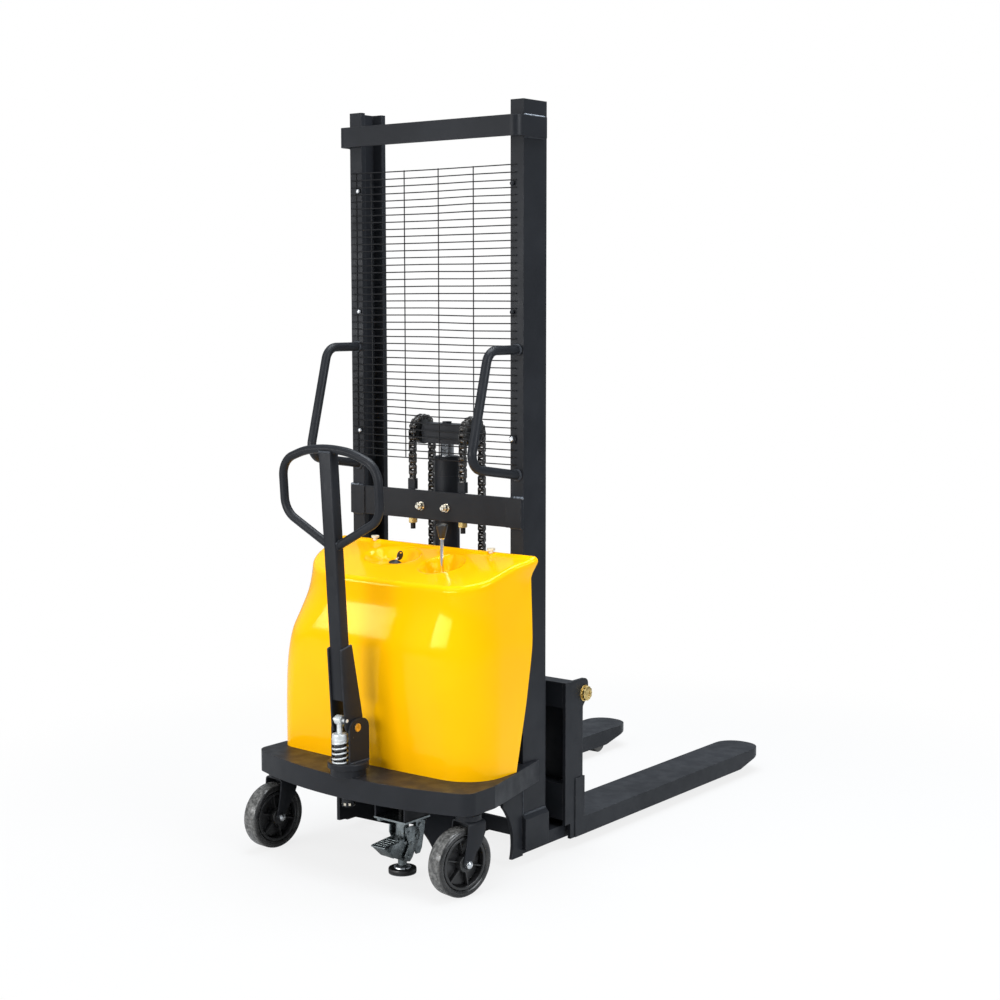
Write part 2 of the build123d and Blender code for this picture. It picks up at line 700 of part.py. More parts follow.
def chain_wraps():
    """Half turns of the two chains over their wheels."""
    left = CHAIN_X - CHAIN_W / 2
    right = CHAIN_X + CHAIN_W / 2
    outside = CHAIN_PITCH_R + CHAIN_T / 2
    turn = rod_x(CYL_Y, WHEEL_Z, outside, left, right) - rod_x(CYL_Y, WHEEL_Z, chain_inside(), left, right)
    turn -= block((left, right), (CYL_Y - outside, CYL_Y + outside), (WHEEL_Z - outside, WHEEL_Z))
    return group(both(turn))


def chain_rear_runs():
    """Chain from the anchor rods up to the wheels."""
    return group(both(chain_run(chain_rear_y(), ANCHOR_TOP, WHEEL_Z)))


def chain_front_runs():
    """Chain from the wheels down to the carriage."""
    return group(both(chain_run(chain_front_y(), LUG_Z, WHEEL_Z)))


def box_tube(x, y, z):
    """Square tube along X."""
    w = TUBE_WALL
    return block(x, y, z) - block(x, (y[0] + w, y[1] - w), (z[0] + w, z[1] - w))


def carriage_bars():
    """Upper and lower cross tubes; the lower one carries the chain lugs."""
    span = (-CARRIAGE_OUT + CARRIAGE_T, CARRIAGE_OUT - CARRIAGE_T)
    depth = (CARRIAGE_REAR, CARRIAGE_FRONT)
    low = box_tube(span, depth, LOW_BAR_Z)
    y = chain_front_y()
    lug = block((CHAIN_X - 14, CHAIN_X + 14), (y - 12, CARRIAGE_REAR), (LUG_Z - 30, LUG_Z))
    for part in both(lug):
        low += part
    return group([low, box_tube(span, depth, TOP_BAR_Z)])


def carriage_side():
    """Right side plate with the ear for the fork shaft and a narrow foot."""
    low, top = CARRIAGE_Z
    points = [
        (CARRIAGE_REAR, low),
        (CARRIAGE_FRONT - 20, low),
        (CARRIAGE_FRONT - 20, SHANK_Z[0]),
        (CARRIAGE_FRONT, SHANK_Z[0]),
        (CARRIAGE_FRONT, SHANK_Z[1] + SIDE_GAP),
        (SIDE_FRONT, SHANK_Z[1] + SIDE_GAP),
        (SIDE_FRONT, SHAFT_Z - EAR_DROP - EAR_SLOPE),
        (EAR_Y, SHAFT_Z - EAR_DROP),
        (EAR_Y, top),
        (CARRIAGE_REAR, top),
    ]
    plate = plate_x(points, CARRIAGE_OUT - CARRIAGE_T, CARRIAGE_OUT)
    corners = plate.edges().filter_by(Axis.X).group_by(Axis.Y)[-1]
    plate = fillet(corners, EAR_ROUNDING)
    return plate - rod_x(SHAFT_Y, SHAFT_Z, SHAFT_R, CARRIAGE_OUT - CARRIAGE_T, CARRIAGE_OUT)


def roller_plates():
    """Plates behind the carriage bars that reach between the posts, with the roller stub axles."""
    inner = PLATE_OUT - PLATE_T
    plate = block((inner, PLATE_OUT), (PLATE_REAR, CARRIAGE_REAR), CARRIAGE_Z)
    plate = chamfer(plate.edges().filter_by(Axis.X).group_by(Axis.Y)[0], 12)
    near = WEB_IN - SIDE_GAP - ROLLER_W - SIDE_GAP
    for z in ROLLER_Z:
        plate += rod_x(GUIDE_Y, z, STUB_R, PLATE_OUT, near + ROLLER_W)
        plate += rod_x(GUIDE_Y, z, STUB_R + 5, PLATE_OUT, near - SIDE_GAP)
    return group(both(plate))


def guide_roller(z):
    """Right guide roller, running in the post's channel."""
    left = WEB_IN - SIDE_GAP - ROLLER_W - SIDE_GAP
    roller = rod_x(GUIDE_Y, z, ROLLER_R, left, left + ROLLER_W)
    roller = chamfer(roller.edges().filter_by(GeomType.CIRCLE), 1.5)
    return roller - rod_x(GUIDE_Y, z, STUB_R + RUN_FIT, left, left + ROLLER_W)


def fork():
    """Right fork: blade open below, shank, upright and the sleeve that hangs on the shaft."""
    middle = (FORK_IN + FORK_OUT) / 2
    width = FORK_OUT - FORK_IN
    blade = fork_outline(middle, width, FORK_TIP, FORK_TIP_R, FORK_Z)
    inner_z = (FORK_Z[0], FORK_Z[1] - FORK_TOP_T)
    blade -= fork_outline(middle, width - 2 * FORK_WALL, FORK_TIP - FORK_WALL, FORK_TIP_R - FORK_WALL, inner_z)
    wedge = [(FORK_TAPER, FORK_Z[0]), (FORK_TIP + 1, FORK_TIP_Z), (FORK_TIP + 1, FORK_Z[0])]
    blade -= plate_x(wedge, FORK_IN - 1, FORK_OUT + 1)
    shank = block((FORK_IN, FORK_OUT), (CARRIAGE_FRONT, SHANK_Y), SHANK_Z)
    tunnel = (FORK_IN + FORK_WALL, FORK_OUT - FORK_WALL)
    shank -= block(tunnel, (CARRIAGE_FRONT, SHANK_Y), (SHANK_Z[0], inner_z[1]))
    right = CARRIAGE_OUT - CARRIAGE_T - 1
    upright = block((FORK_IN + 6, right), (CARRIAGE_FRONT, UPRIGHT_Y), (SHANK_Z[1], SHAFT_Z + 10))
    upright += rod_x(SHAFT_Y, SHAFT_Z, SLEEVE_R, FORK_IN + 6, right)
    shape = blade + shank + upright
    return shape - rod_x(SHAFT_Y, SHAFT_Z, SHAFT_R, FORK_IN, FORK_OUT)


def fork_outline(middle, width, tip, radius, z):
    """Blade between two heights, rounded at the tip in plan."""
    plan = Pos(middle, (SHANK_Y + tip) / 2) * Rectangle(width, tip - SHANK_Y)
    plan = fillet(plan.vertices().group_by(Axis.Y)[-1], radius)
    return Pos(0, 0, z[0]) * extrude(plan, amount=z[1] - z[0])


def fork_shaft():
    """Shaft through both ears and fork sleeves, with a nut and washer at each end."""
    shaft = rod_x(SHAFT_Y, SHAFT_Z, SHAFT_R, -CARRIAGE_OUT - 12, CARRIAGE_OUT + 12)
    for left, right in ((CARRIAGE_OUT, CARRIAGE_OUT + 3), (-CARRIAGE_OUT - 3, -CARRIAGE_OUT)):
        shaft += rod_x(SHAFT_Y, SHAFT_Z, SHAFT_R + 8, left, right)
    for left, right in ((CARRIAGE_OUT + 3, CARRIAGE_OUT + 12), (-CARRIAGE_OUT - 12, -CARRIAGE_OUT - 3)):
        shaft += hex_x(SHAFT_Y, SHAFT_Z, 36, left, right)
    return shaft


def caster_heads():
    """Swivel heads under the tray, each with its race, kingpin and nut."""
    race = YOKE_TOP + SIDE_GAP
    head = rod_z(CASTER_X, CASTER_Y, HEAD_R, race, TRAY_UNDER)
    head += rod_z(CASTER_X, CASTER_Y, YOKE_PLATE_R, race, race + 14)
    nut = YOKE_TOP - YOKE_T - SIDE_GAP
    head += rod_z(CASTER_X, CASTER_Y, KINGPIN_R, nut - 9, race)
    head += hex_z(CASTER_X, CASTER_Y, 24, nut - 8, nut)
    return group(both(head))


def caster_axle_y():
    return CASTER_Y - CASTER_TRAIL


def caster_yoke():
    """Right yoke: a flat U with the wheel's axle bolt through its arms."""
    y = caster_axle_y()
    inner = YOKE_GAP / 2
    outer = inner + YOKE_T
    plate = Pos(CASTER_X, CASTER_Y) * RectangleRounded(2 * outer, 2 * YOKE_PLATE_R, 8)
    yoke = Pos(0, 0, YOKE_TOP - YOKE_T) * extrude(plate, amount=YOKE_T)
    yoke -= rod_z(CASTER_X, CASTER_Y, KINGPIN_R + RUN_FIT, YOKE_TOP - YOKE_T, YOKE_TOP)
    arm = [(CASTER_Y + 24, YOKE_TOP - 2), (CASTER_Y - 26, YOKE_TOP - 2)]
    arm += [(y - YOKE_EYE_R, WHEEL_R), (y + YOKE_EYE_R, WHEEL_R)]
    for left in (CASTER_X - outer, CASTER_X + inner):
        side = plate_x(arm, left, left + YOKE_T) + rod_x(y, WHEEL_R, YOKE_EYE_R, left, left + YOKE_T)
        yoke += side - rod_x(y, WHEEL_R, AXLE_R, left, left + YOKE_T)
    bolt = rod_x(y, WHEEL_R, AXLE_R, CASTER_X - outer - 8, CASTER_X + outer + 8)
    for left in (CASTER_X - outer - 8, CASTER_X + outer):
        bolt += hex_x(y, WHEEL_R, 24, left, left + 8)
    return group([yoke, bolt])


def turned(shape, x, angle):
    """A caster's piece turned about its swivel axis."""
    return Pos(x, CASTER_Y) * Rot(0, 0, angle) * Pos(-x, -CASTER_Y) * shape


def caster_hub():
    """Right hub: rim, thin web, ribs and boss."""
    y = caster_axle_y()
    left = CASTER_X - HUB_W / 2
    right = CASTER_X + HUB_W / 2
    hub = rod_x(y, WHEEL_R, HUB_R, left, right)
    for low, high in ((left, left + HUB_RECESS), (right - HUB_RECESS, right)):
        hub -= rod_x(y, WHEEL_R, HUB_R - HUB_RIM, low, high)
    hub += rod_x(y, WHEEL_R, HUB_BOSS_R, CASTER_X - YOKE_GAP / 2 + SIDE_GAP, CASTER_X + YOKE_GAP / 2 - SIDE_GAP)
    reach = HUB_R - HUB_RIM / 2
    for rib in range(HUB_RIBS):
        bar = block((left + 5, right - 5), (0, reach), (-HUB_RIB_T / 2, HUB_RIB_T / 2))
        hub += Pos(0, y, WHEEL_R) * Rot(360.0 * rib / HUB_RIBS, 0, 0) * bar
    return hub - rod_x(y, WHEEL_R, AXLE_R + RUN_FIT, left - 20, right + 20)


def caster_tyre():
    """Right tyre, bonded to the hub's rim."""
    y = caster_axle_y()
    left = CASTER_X - TYRE_W / 2
    right = CASTER_X + TYRE_W / 2
    tyre = rod_x(y, WHEEL_R, WHEEL_R, left, right)
    tyre = fillet(tyre.edges().filter_by(GeomType.CIRCLE), 7)
    return tyre - rod_x(y, WHEEL_R, HUB_R, left, right)


def lock_plate():
    """Floor lock plate with the plunger's guide, the pedal's lugs and pin, and its four bolts."""
    low = LOCK_PLATE_Z - LOCK_PLATE_T / 2
    high = LOCK_PLATE_Z + LOCK_PLATE_T / 2
    half = (LOCK_PLATE[0] / 2, LOCK_PLATE[1] / 2)
    plate = block((LOCK_X - half[0], LOCK_X + half[0]), (LOCK_Y - half[1], LOCK_Y + half[1]), (low, high))
    plate += rod_z(LOCK_X, LOCK_Y, GUIDE_R, GUIDE_LOW, low)
    for x in (LOCK_X - LUG_X - LUG_T, LOCK_X + LUG_X):
        lug = [(-18, low - PEDAL_PIVOT[1]), (16, low - PEDAL_PIVOT[1]), (22, 0), (8, -65)]
        lug += [(0, -78), (-14, -78), (-20, -62), (-12, -20)]
        plate += plate_x([(PEDAL_PIVOT[0] + y, PEDAL_PIVOT[1] + z) for y, z in lug], x, x + LUG_T)
    plate += rod_x(*PEDAL_PIVOT, PEDAL_PIN_R, LOCK_X - LUG_X - LUG_T - 4, LOCK_X + LUG_X + LUG_T + 4)
    for x in (-1, 1):
        for y in (-1, 1):
            place = (LOCK_X + x * (half[0] - 12), LOCK_Y + y * (half[1] - 12))
            plate += hex_z(*place, 16, low - 7, low)
    return plate - rod_z(LOCK_X, LOCK_Y, PLUNGER_R + RUN_FIT, GUIDE_LOW, high)


def lock_plunger():
    """Sliding plunger with the pad that presses on the floor."""
    plunger = rod_z(LOCK_X, LOCK_Y, PLUNGER_R, PAD_LIFT + PAD_H, PLUNGER_TOP)
    pad = rod_z(LOCK_X, LOCK_Y, PAD_R, PAD_LIFT, PAD_LIFT + PAD_H)
    pad = chamfer(pad.edges().filter_by(GeomType.CIRCLE).group_by(Axis.Z)[-1], 5)
    return plunger + pad


def lock_pedal():
    """Pedal with two arms that pass beside the guide to the pin in front of it."""
    y, z = PEDAL_PIVOT
    outline = [(y, z + 8), (PEDAL_Y[1], PEDAL_Z[1] + 6), (PEDAL_Y[1], PEDAL_Z[1] - 8), (y, z - 8)]
    tread = [(PEDAL_Y[1] + 4, PEDAL_Z[1] + 6), (PEDAL_Y[0], PEDAL_Z[0] + 6)]
    tread += [(PEDAL_Y[0], PEDAL_Z[0]), (PEDAL_Y[1] + 4, PEDAL_Z[1])]
    half = PEDAL_W / 2
    pedal = plate_x(tread, LOCK_X - half, LOCK_X + half)
    for left in (LOCK_X - half, LOCK_X + half - PEDAL_ARM_T):
        arm = plate_x(outline, left, left + PEDAL_ARM_T)
        arm += rod_x(y, z, 8, left, left + PEDAL_ARM_T)
        pedal += arm - rod_x(y, z, PEDAL_PIN_R + RUN_FIT, left, left + PEDAL_ARM_T)
    return pedal


def turntable():
    """Steering disc with two ears, the spring's sleeve and the pivot bolt through the tray."""
    low, high = TURN_Z
    disc = rod_z(0, TURN_Y, TURN_R, low, high)
    disc = fillet(disc.edges().filter_by(GeomType.CIRCLE).group_by(Axis.Z)[-1], 4)
    disc += rod_z(0, TURN_Y, PIVOT_R, PIVOT_BOSS_Z - 16, low)
    disc += hex_z(0, TURN_Y, 32, PIVOT_BOSS_Z - 14, PIVOT_BOSS_Z - SIDE_GAP)
    rear, front = EAR_Y_RANGE
    ear = plate_x([(rear, high), (front, high), (front, EAR_TOP), (rear, EAR_TOP)], EAR_IN, EAR_IN + EAR_T)
    ear = fillet(ear.edges().filter_by(Axis.X).group_by(Axis.Z)[-1], EAR_ROUND)
    ear -= rod_x(PIN_Y, PIN_Z, PIN_R, EAR_IN, EAR_IN + EAR_T)
    for part in both(ear):
        disc += part
    disc += rod_z(0, SPRING_Y, SLEEVE_TUBE_R, high, SLEEVE_TOP)
    return disc - rod_z(0, SPRING_Y, PISTON_R + RUN_FIT, high, SLEEVE_TOP)


def tiller_pin():
    """Pin through the ears, with a round head at each end."""
    outer = EAR_IN + EAR_T
    pin = rod_x(PIN_Y, PIN_Z, PIN_R, -outer - 3, outer + 3)
    for left in (-outer - 3, outer):
        pin += rod_x(PIN_Y, PIN_Z, PIN_R + 3, left, left + 3)
    return pin


def coil_point(turn):
    """Point and direction of the spring's centre line after some turns."""
    rise = (SPRING_TOP - TURN_Z[1] - 2 * SPRING_WIRE) / SPRING_TURNS
    angle = 2 * math.pi * turn
    x = SPRING_R * math.cos(angle)
    y = SPRING_Y + SPRING_R * math.sin(angle)
    z = TURN_Z[1] + SPRING_WIRE + rise * turn
    slope = Vector(-SPRING_R * math.sin(angle), SPRING_R * math.cos(angle), rise / (2 * math.pi))
    return Vector(x, y, z), slope.normalized()


def biarc(start, start_dir, end, end_dir):
    """Two arcs that join two points with the given directions and meet smoothly."""
    chord = end - start
    lean = start_dir + end_dir
    bend = 2 * (1 - start_dir.dot(end_dir))
    along = chord.dot(lean)
    reach = (math.sqrt(along * along + bend * chord.dot(chord)) - along) / bend
    first = start + start_dir * reach
    last = end - end_dir * reach
    middle = (first + last) * 0.5
    return [TangentArc(start, middle, tangent=start_dir), TangentArc(middle, end, tangent=last - first)]


def tiller_spring():
    """Coil spring under the piston's cap."""
    quarters = [coil_point(step / 4) for step in range(4 * SPRING_TURNS + 1)]
    edges = []
    for (start, start_dir), (end, end_dir) in zip(quarters, quarters[1:]):
        edges.extend(biarc(start, start_dir, end, end_dir))
    path = Wire(edges)
    start, direction = quarters[0]
    return sweep(Plane(start, z_dir=direction) * Circle(SPRING_WIRE), path=path)


def spring_self_gap():
    """Least distance between the surfaces of neighbouring turns, measured on points."""
    steps = 48
    points = [coil_point(step / steps)[0] for step in range(steps * SPRING_TURNS + 1)]
    least = math.inf
    for i, first in enumerate(points):
        for second in points[i + steps // 2:]:
            least = min(least, (second - first).length)
    return least - 2 * SPRING_WIRE


def spring_piston():
    """Cap on the spring, piston rod and the eye with its cross pin."""
    piston = rod_z(0, SPRING_Y, CAP_R, *CAP_Z)
    piston = fillet(piston.edges().filter_by(GeomType.CIRCLE).group_by(Axis.Z)[-1], 6)
    piston += rod_z(0, SPRING_Y, PISTON_R, PISTON_LOW, PRESS_Z - 4)
    piston += rod_x(SPRING_Y, PRESS_Z, PRESS_R, -8, 8)
    return piston + rod_x(SPRING_Y, PRESS_Z, 5, -TUBE_X / 2 + SIDE_GAP, TUBE_X / 2 - SIDE_GAP)


def tiller_handle():
    """Leaning tube with two side plates on the pin and a loop handle on top."""
    rear = -TUBE_BACK - TUBE_D / 2
    front = -TUBE_BACK + TUBE_D / 2
    half = TUBE_X / 2
    wall = TUBE_T
    tube = block((-half, half), (rear, front), (TUBE_LOW, TUBE_HIGH))
    tube -= block((-half + wall, half - wall), (rear + wall, front - wall), (TUBE_LOW, TUBE_HIGH - 60))
    cheek = [(rear - 5, CHEEK_HIGH), (front + 5, CHEEK_HIGH + 8), (CHEEK_FLARE, 24), (CHEEK_FLARE, 0)]
    cheek += [(18, -18), (-18, -18), (rear - 5, 5)]
    side = plate_x(cheek, half, half + CHEEK_T) - rod_x(0, 0, PIN_R + RUN_FIT, half, half + CHEEK_T)
    for part in both(side):
        tube += part
    entry = LOOP_LOW + (LOOP_KNEE - LOOP_LOW) * LOOP_IN / LOOP_HALF
    path = FilletPolyline(
        (LOOP_IN, -TUBE_BACK, entry),
        (LOOP_HALF, -TUBE_BACK, LOOP_KNEE),
        (LOOP_HALF, -TUBE_BACK, LOOP_SHOULDER),
        (LOOP_CROWN[0], -TUBE_BACK, LOOP_CROWN[1]),
        (0, -TUBE_BACK, LOOP_TOP),
        (-LOOP_CROWN[0], -TUBE_BACK, LOOP_CROWN[1]),
        (-LOOP_HALF, -TUBE_BACK, LOOP_SHOULDER),
        (-LOOP_HALF, -TUBE_BACK, LOOP_KNEE),
        (-LOOP_IN, -TUBE_BACK, entry),
        radius=LOOP_BEND,
    )
    tube += sweep(Plane(path @ 0, z_dir=path % 0) * Circle(LOOP_R), path=path)
    return Pos(0, PIN_Y, PIN_Z) * Rot(LEAN, 0, 0) * tube


def cover_section(z, right, left, rear, right_corner, left_corner, shrink, past):
    """Plan of the cover at one height: a bowed rear with two rounded corners."""
    right, left, rear = right - shrink, left - shrink, rear + shrink
    front = COVER_FRONT + past
    side = rear + COVER_BULGE
    bow = ThreePointArc((right, side), (0, rear), (-left, side))
    rest = Polyline((-left, side), (-left, front), (right, front), (right, side))
    face = make_face(Curve(children=[bow, rest]))
    face = fillet(face.vertices().group_by(Axis.Y)[0].sort_by(Axis.X)[-1], right_corner - shrink)
    face = fillet(face.vertices().sort_by(Axis.Y).sort_by(Axis.X)[0:2].sort_by(Axis.Y)[0], left_corner - shrink)
    return Pos(0, 0, z) * face


def cover_body(shrink, past):
    """Solid filling of the cover, under its sloping top with a rounded crease."""
    body = loft([cover_section(*level, shrink, past) for level in COVER_LEVELS])
    slope = (COVER_FRONT_Z - COVER_REAR_Z) / (COVER_FRONT - COVER_LEVELS[0][3])
    front_z = COVER_FRONT_Z - shrink + slope * (past - COVER_FRONT)
    rear_z = COVER_FRONT_Z - shrink - slope * COVER_CLEAR
    behind = COVER_FRONT - COVER_CLEAR
    below = [(past, 0), (past, front_z), (behind, rear_z), (behind, 0)]
    body &= plate_x(below, -COVER_CLEAR, COVER_CLEAR)
    top = body.faces().sort_by(Axis.Z)[-1]
    crease = [edge for edge in top.edges() if edge.bounding_box().min.Y < COVER_FRONT - 1]
    return fillet(crease, CREASE_R - shrink)


def scoop(place, grow):
    """Hand scoop in the cover's top: an oval well with a level floor."""
    x, y, half_x, half_y, floor = place
    oval = Pos(x, y, floor - grow) * Ellipse(half_x + grow, half_y + grow)
    well = extrude(oval, amount=COVER_CLEAR)
    return fillet(well.edges().group_by(Axis.Z)[0], SCOOP_SOFT + grow)


def cover():
    """Moulded cover: a shell open in front and below, with scoops, a front lip and screw holes."""
    shell = cover_body(0, PAST)
    hollow = cover_body(COVER_T, 2 * PAST)
    for place in (KEY_SCOOP, LEVER_SCOOP):
        shell -= scoop(place, 0)
        hollow -= scoop(place, COVER_T)
    top = shell.faces().filter_by(GeomType.PLANE).sort_by(Axis.Z)[-1]
    shell = fillet([edge for wire in top.inner_wires() for edge in wire.edges()], MOUTH_R)
    shell -= hollow
    lip_z = (COVER_FRONT_Z - FLANGE_T, COVER_FRONT_Z)
    shell += block((-FLANGE_HALF, FLANGE_HALF), (COVER_FRONT - FLANGE_D, COVER_FRONT), lip_z)
    far = COVER_FRONT + 2 * PAST
    front = [(FRONT_FOOT_Y, 0), (FRONT_FOOT_Y, COVER_FOOT), (FRONT_KNEE_Y, FRONT_KNEE_Z)]
    above = COVER_FRONT_Z + COVER_CLEAR
    front += [(COVER_FRONT, COVER_FRONT_Z), (COVER_FRONT, above), (far, above), (far, 0)]
    shell -= plate_x(front, -COVER_CLEAR, COVER_CLEAR)
    for x in (-SCREW_X, SCREW_X):
        shell -= rod_z(x, COVER_FRONT - FLANGE_D / 2, SCREW_R, COVER_FRONT_Z - 40, COVER_FRONT_Z)
    shell -= rod_z(KEY_X, KEY_Y, SWITCH_R, KEY_SCOOP[4] - 20, KEY_SCOOP[4])
    slot = (LEVER_Y - LEVER_SLOT, LEVER_Y + LEVER_SLOT)
    floor = LEVER_SCOOP[4]
    return shell - block((LEVER_X - LEVER_R - 3, LEVER_X + LEVER_R + 3), slot, (floor - 20, floor))


def cover_screws():
    """Plastic screws through the cover's front lip."""
    y = COVER_FRONT - FLANGE_D / 2
    screw = rod_z(SCREW_X, y, SCREW_R, COVER_FRONT_Z - 22, COVER_FRONT_Z)
    screw += rod_z(SCREW_X, y, SCREW_R + 1.5, COVER_FRONT_Z, COVER_FRONT_Z + 7)
    screw += rod_z(SCREW_X, y, SCREW_HEAD_R, COVER_FRONT_Z + 7, COVER_FRONT_Z + 13)
    return group(both(screw))


def battery():
    """Battery on the tray, with two terminals."""
    case = block(BATTERY_X, BATTERY_Y, (TRAY_TOP, BATTERY_TOP))
    case = fillet(case.edges().filter_by(Axis.Z), 8)
    y = sum(BATTERY_Y) / 2
    for x in (BATTERY_X[0] + 40, BATTERY_X[1] - 40):
        case += rod_z(x, y, 9, BATTERY_TOP, BATTERY_TOP + 14)
    return case


def pump_unit():
    """Oil tank, pump block and motor standing on the tray."""
    x = sum(TANK_X) / 2
    y = sum(TANK_Y) / 2
    unit = fillet(block(TANK_X, TANK_Y, (TRAY_TOP, TANK_TOP)).edges().filter_by(Axis.Z), 12)
    unit += block((x - 55, x + 55), (y - 55, y + 55), (TANK_TOP, TANK_TOP + PUMP_H))
    return unit + rod_z(x, y, MOTOR_R, TANK_TOP + PUMP_H, TANK_TOP + PUMP_H + MOTOR_H)


def lever_mount():
    """Bracket under the lever's scoop with the lever's pivot pin."""
    top = LEVER_SCOOP[4] - COVER_T
    mount = block((LEVER_X - 28, LEVER_X + 28), (LEVER_Y - 24, LEVER_Y + 24), (top - 5, top))
    slot = (LEVER_Y - LEVER_SLOT, LEVER_Y + LEVER_SLOT)
    mount -= block((LEVER_X - LEVER_R - 3, LEVER_X + LEVER_R + 3), slot, (top - 5, top))
    for left in (LEVER_X - 17, LEVER_X + 11):
        mount += block((left, left + 6), (LEVER_Y - 12, LEVER_Y + 12), (LEVER_PIVOT_Z - 12, top - 5))
    return mount + rod_x(LEVER_Y, LEVER_PIVOT_Z, LEVER_PIN_R, LEVER_X - 20, LEVER_X + 20)


def control_lever():
    """Chromed lever on its pivot, with a tapered knob."""
    lever = rod_x(LEVER_Y, LEVER_PIVOT_Z, 9, LEVER_X - 10, LEVER_X + 10)
    lever += rod_z(LEVER_X, LEVER_Y, LEVER_R, LEVER_PIVOT_Z, LEVER_TOP - 20)
    knob = Cone(KNOB_LOW_R, KNOB_R, KNOB_H, align=(Align.CENTER, Align.CENTER, Align.MAX))
    knob = fillet(knob.edges().filter_by(GeomType.CIRCLE).group_by(Axis.Z)[-1], 4)
    lever += Pos(LEVER_X, LEVER_Y, LEVER_TOP) * knob
    return lever - rod_x(LEVER_Y, LEVER_PIVOT_Z, LEVER_PIN_R + RUN_FIT, LEVER_X - 10, LEVER_X + 10)


def key_switch():
    """Switch with an oval base on the scoop's floor and its body below."""
    floor = KEY_SCOOP[4]
    oval = Pos(KEY_X, KEY_Y, floor) * Ellipse(20, 14)
    switch = extrude(oval, amount=SWITCH_H)
    switch += rod_z(KEY_X, KEY_Y, SWITCH_R, floor - 40, floor)
    return switch - rod_z(KEY_X, KEY_Y, KEY_R + RUN_FIT, floor - 12, floor + SWITCH_H)


def start_key():
    """Key with an oval head."""
    top = KEY_SCOOP[4] + SWITCH_H
    key = rod_z(KEY_X, KEY_Y, KEY_R, top - 14, top + 6)
    head = Plane((KEY_X - 2, KEY_Y, top + 18), x_dir=(0, 1, 0), z_dir=(1, 0, 0)) * Ellipse(10, 15)
    return key + extrude(head, amount=4)


def flip(shape):
    """Left-hand copy of a right-hand piece."""
    return mirror(shape, about=Plane.YZ)


def all_nodes():
    """Every piece under its name."""
    nodes = {}
    pairs = {
        "mast_post": mast_post(),
        "grab_handle": grab_handle(),
        "leg": leg(),
        "load_roller": load_roller(),
        "chain_wheel": chain_wheel(),
        "carriage_side": carriage_side(),
        "guide_roller_low": guide_roller(ROLLER_Z[0]),
        "guide_roller_high": guide_roller(ROLLER_Z[1]),
        "fork": fork(),
        "caster_yoke": caster_yoke(),
        "caster_hub": caster_hub(),
        "caster_tyre": caster_tyre(),
    }
    for name, shape in pairs.items():
        nodes[name + "_right"] = shape
        nodes[name + "_left"] = flip(shape)
    for name in ("caster_yoke", "caster_hub", "caster_tyre"):
        nodes[name + "_right"] = turned(nodes[name + "_right"], CASTER_X, CASTER_TURN[0])
        nodes[name + "_left"] = turned(nodes[name + "_left"], -CASTER_X, CASTER_TURN[1])
    singles = (
        top_strap, cylinder_crossbar, mesh_guard, mesh_bolts, base_beam, tray, load_axles,
        lift_cylinder, cylinder_gland, u_bolt, chain_anchors, lift_rod, crosshead,
        chain_wraps, chain_rear_runs, chain_front_runs, carriage_bars, roller_plates,
        fork_shaft, caster_heads, lock_plate, lock_plunger, lock_pedal, turntable,
        tiller_pin, tiller_spring, spring_piston, tiller_handle, cover, cover_screws,
        battery, pump_unit, lever_mount, control_lever, key_switch, start_key,
    )
    for make in singles:
        nodes[make.__name__] = make()
    return nodes


def main():
    os.makedirs("parts", exist_ok=True)
    nodes = all_nodes()
    rear = min(shape.bounding_box().min.Y for shape in nodes.values())
    front = max(shape.bounding_box().max.Y for shape in nodes.values())
    middle = round((rear + front) / 2, 3)
    print("Y of the mast's rear face in the shared frame:", -middle)
    print("least gap of the tiller spring to itself:", round(spring_self_gap(), 2), "mm")
    for name, shape in nodes.items():
        export_step(Pos(0, -middle, 0) * shape, f"parts/{name}.step")


main()
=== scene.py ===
# %% [markdown]
# # An electric stacker, dressed for the studio
# The imported CAD model is the frame: every solid sits where it belongs, in metres, with the floor
# at z = 0. This lesson gives each solid a finish and models what a solid can't show well: wires,
# chain links, weld beads and soft edges.

# %% Load the frame
import bpy
from math import cos, exp, hypot, radians, sin, sqrt, tan
from mathutils import Matrix, Vector


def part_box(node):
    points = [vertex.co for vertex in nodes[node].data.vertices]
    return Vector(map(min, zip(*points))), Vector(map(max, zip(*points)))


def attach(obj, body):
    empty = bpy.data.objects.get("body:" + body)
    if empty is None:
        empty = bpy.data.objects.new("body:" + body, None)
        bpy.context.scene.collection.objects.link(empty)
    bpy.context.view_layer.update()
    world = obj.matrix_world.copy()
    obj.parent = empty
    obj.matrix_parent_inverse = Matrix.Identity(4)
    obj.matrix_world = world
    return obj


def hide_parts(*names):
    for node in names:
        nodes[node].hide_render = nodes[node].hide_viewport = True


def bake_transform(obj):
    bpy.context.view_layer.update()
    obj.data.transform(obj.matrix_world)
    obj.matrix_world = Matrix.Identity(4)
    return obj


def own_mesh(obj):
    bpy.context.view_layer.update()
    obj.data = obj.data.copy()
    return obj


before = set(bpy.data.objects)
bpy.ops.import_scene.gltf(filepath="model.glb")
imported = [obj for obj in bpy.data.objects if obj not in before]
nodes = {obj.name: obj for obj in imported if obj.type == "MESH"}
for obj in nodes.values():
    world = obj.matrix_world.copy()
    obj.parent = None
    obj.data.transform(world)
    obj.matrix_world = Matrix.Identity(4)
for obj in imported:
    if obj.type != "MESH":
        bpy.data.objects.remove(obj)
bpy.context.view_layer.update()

MAST_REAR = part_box("mast_post_right")[0].y

# %% [markdown]
# ## Camera
# The photograph looks at the operator's end from its right, from chest height, with a fairly long
# lens. Straight posts and level straps give the vanishing points, and the camera's place, turn and
# lens follow from them. The small shift says that the picture was cropped slightly off its middle.

# %% Camera
LOOK_DOWN, LOOK_LEFT = 6.22, 37.9

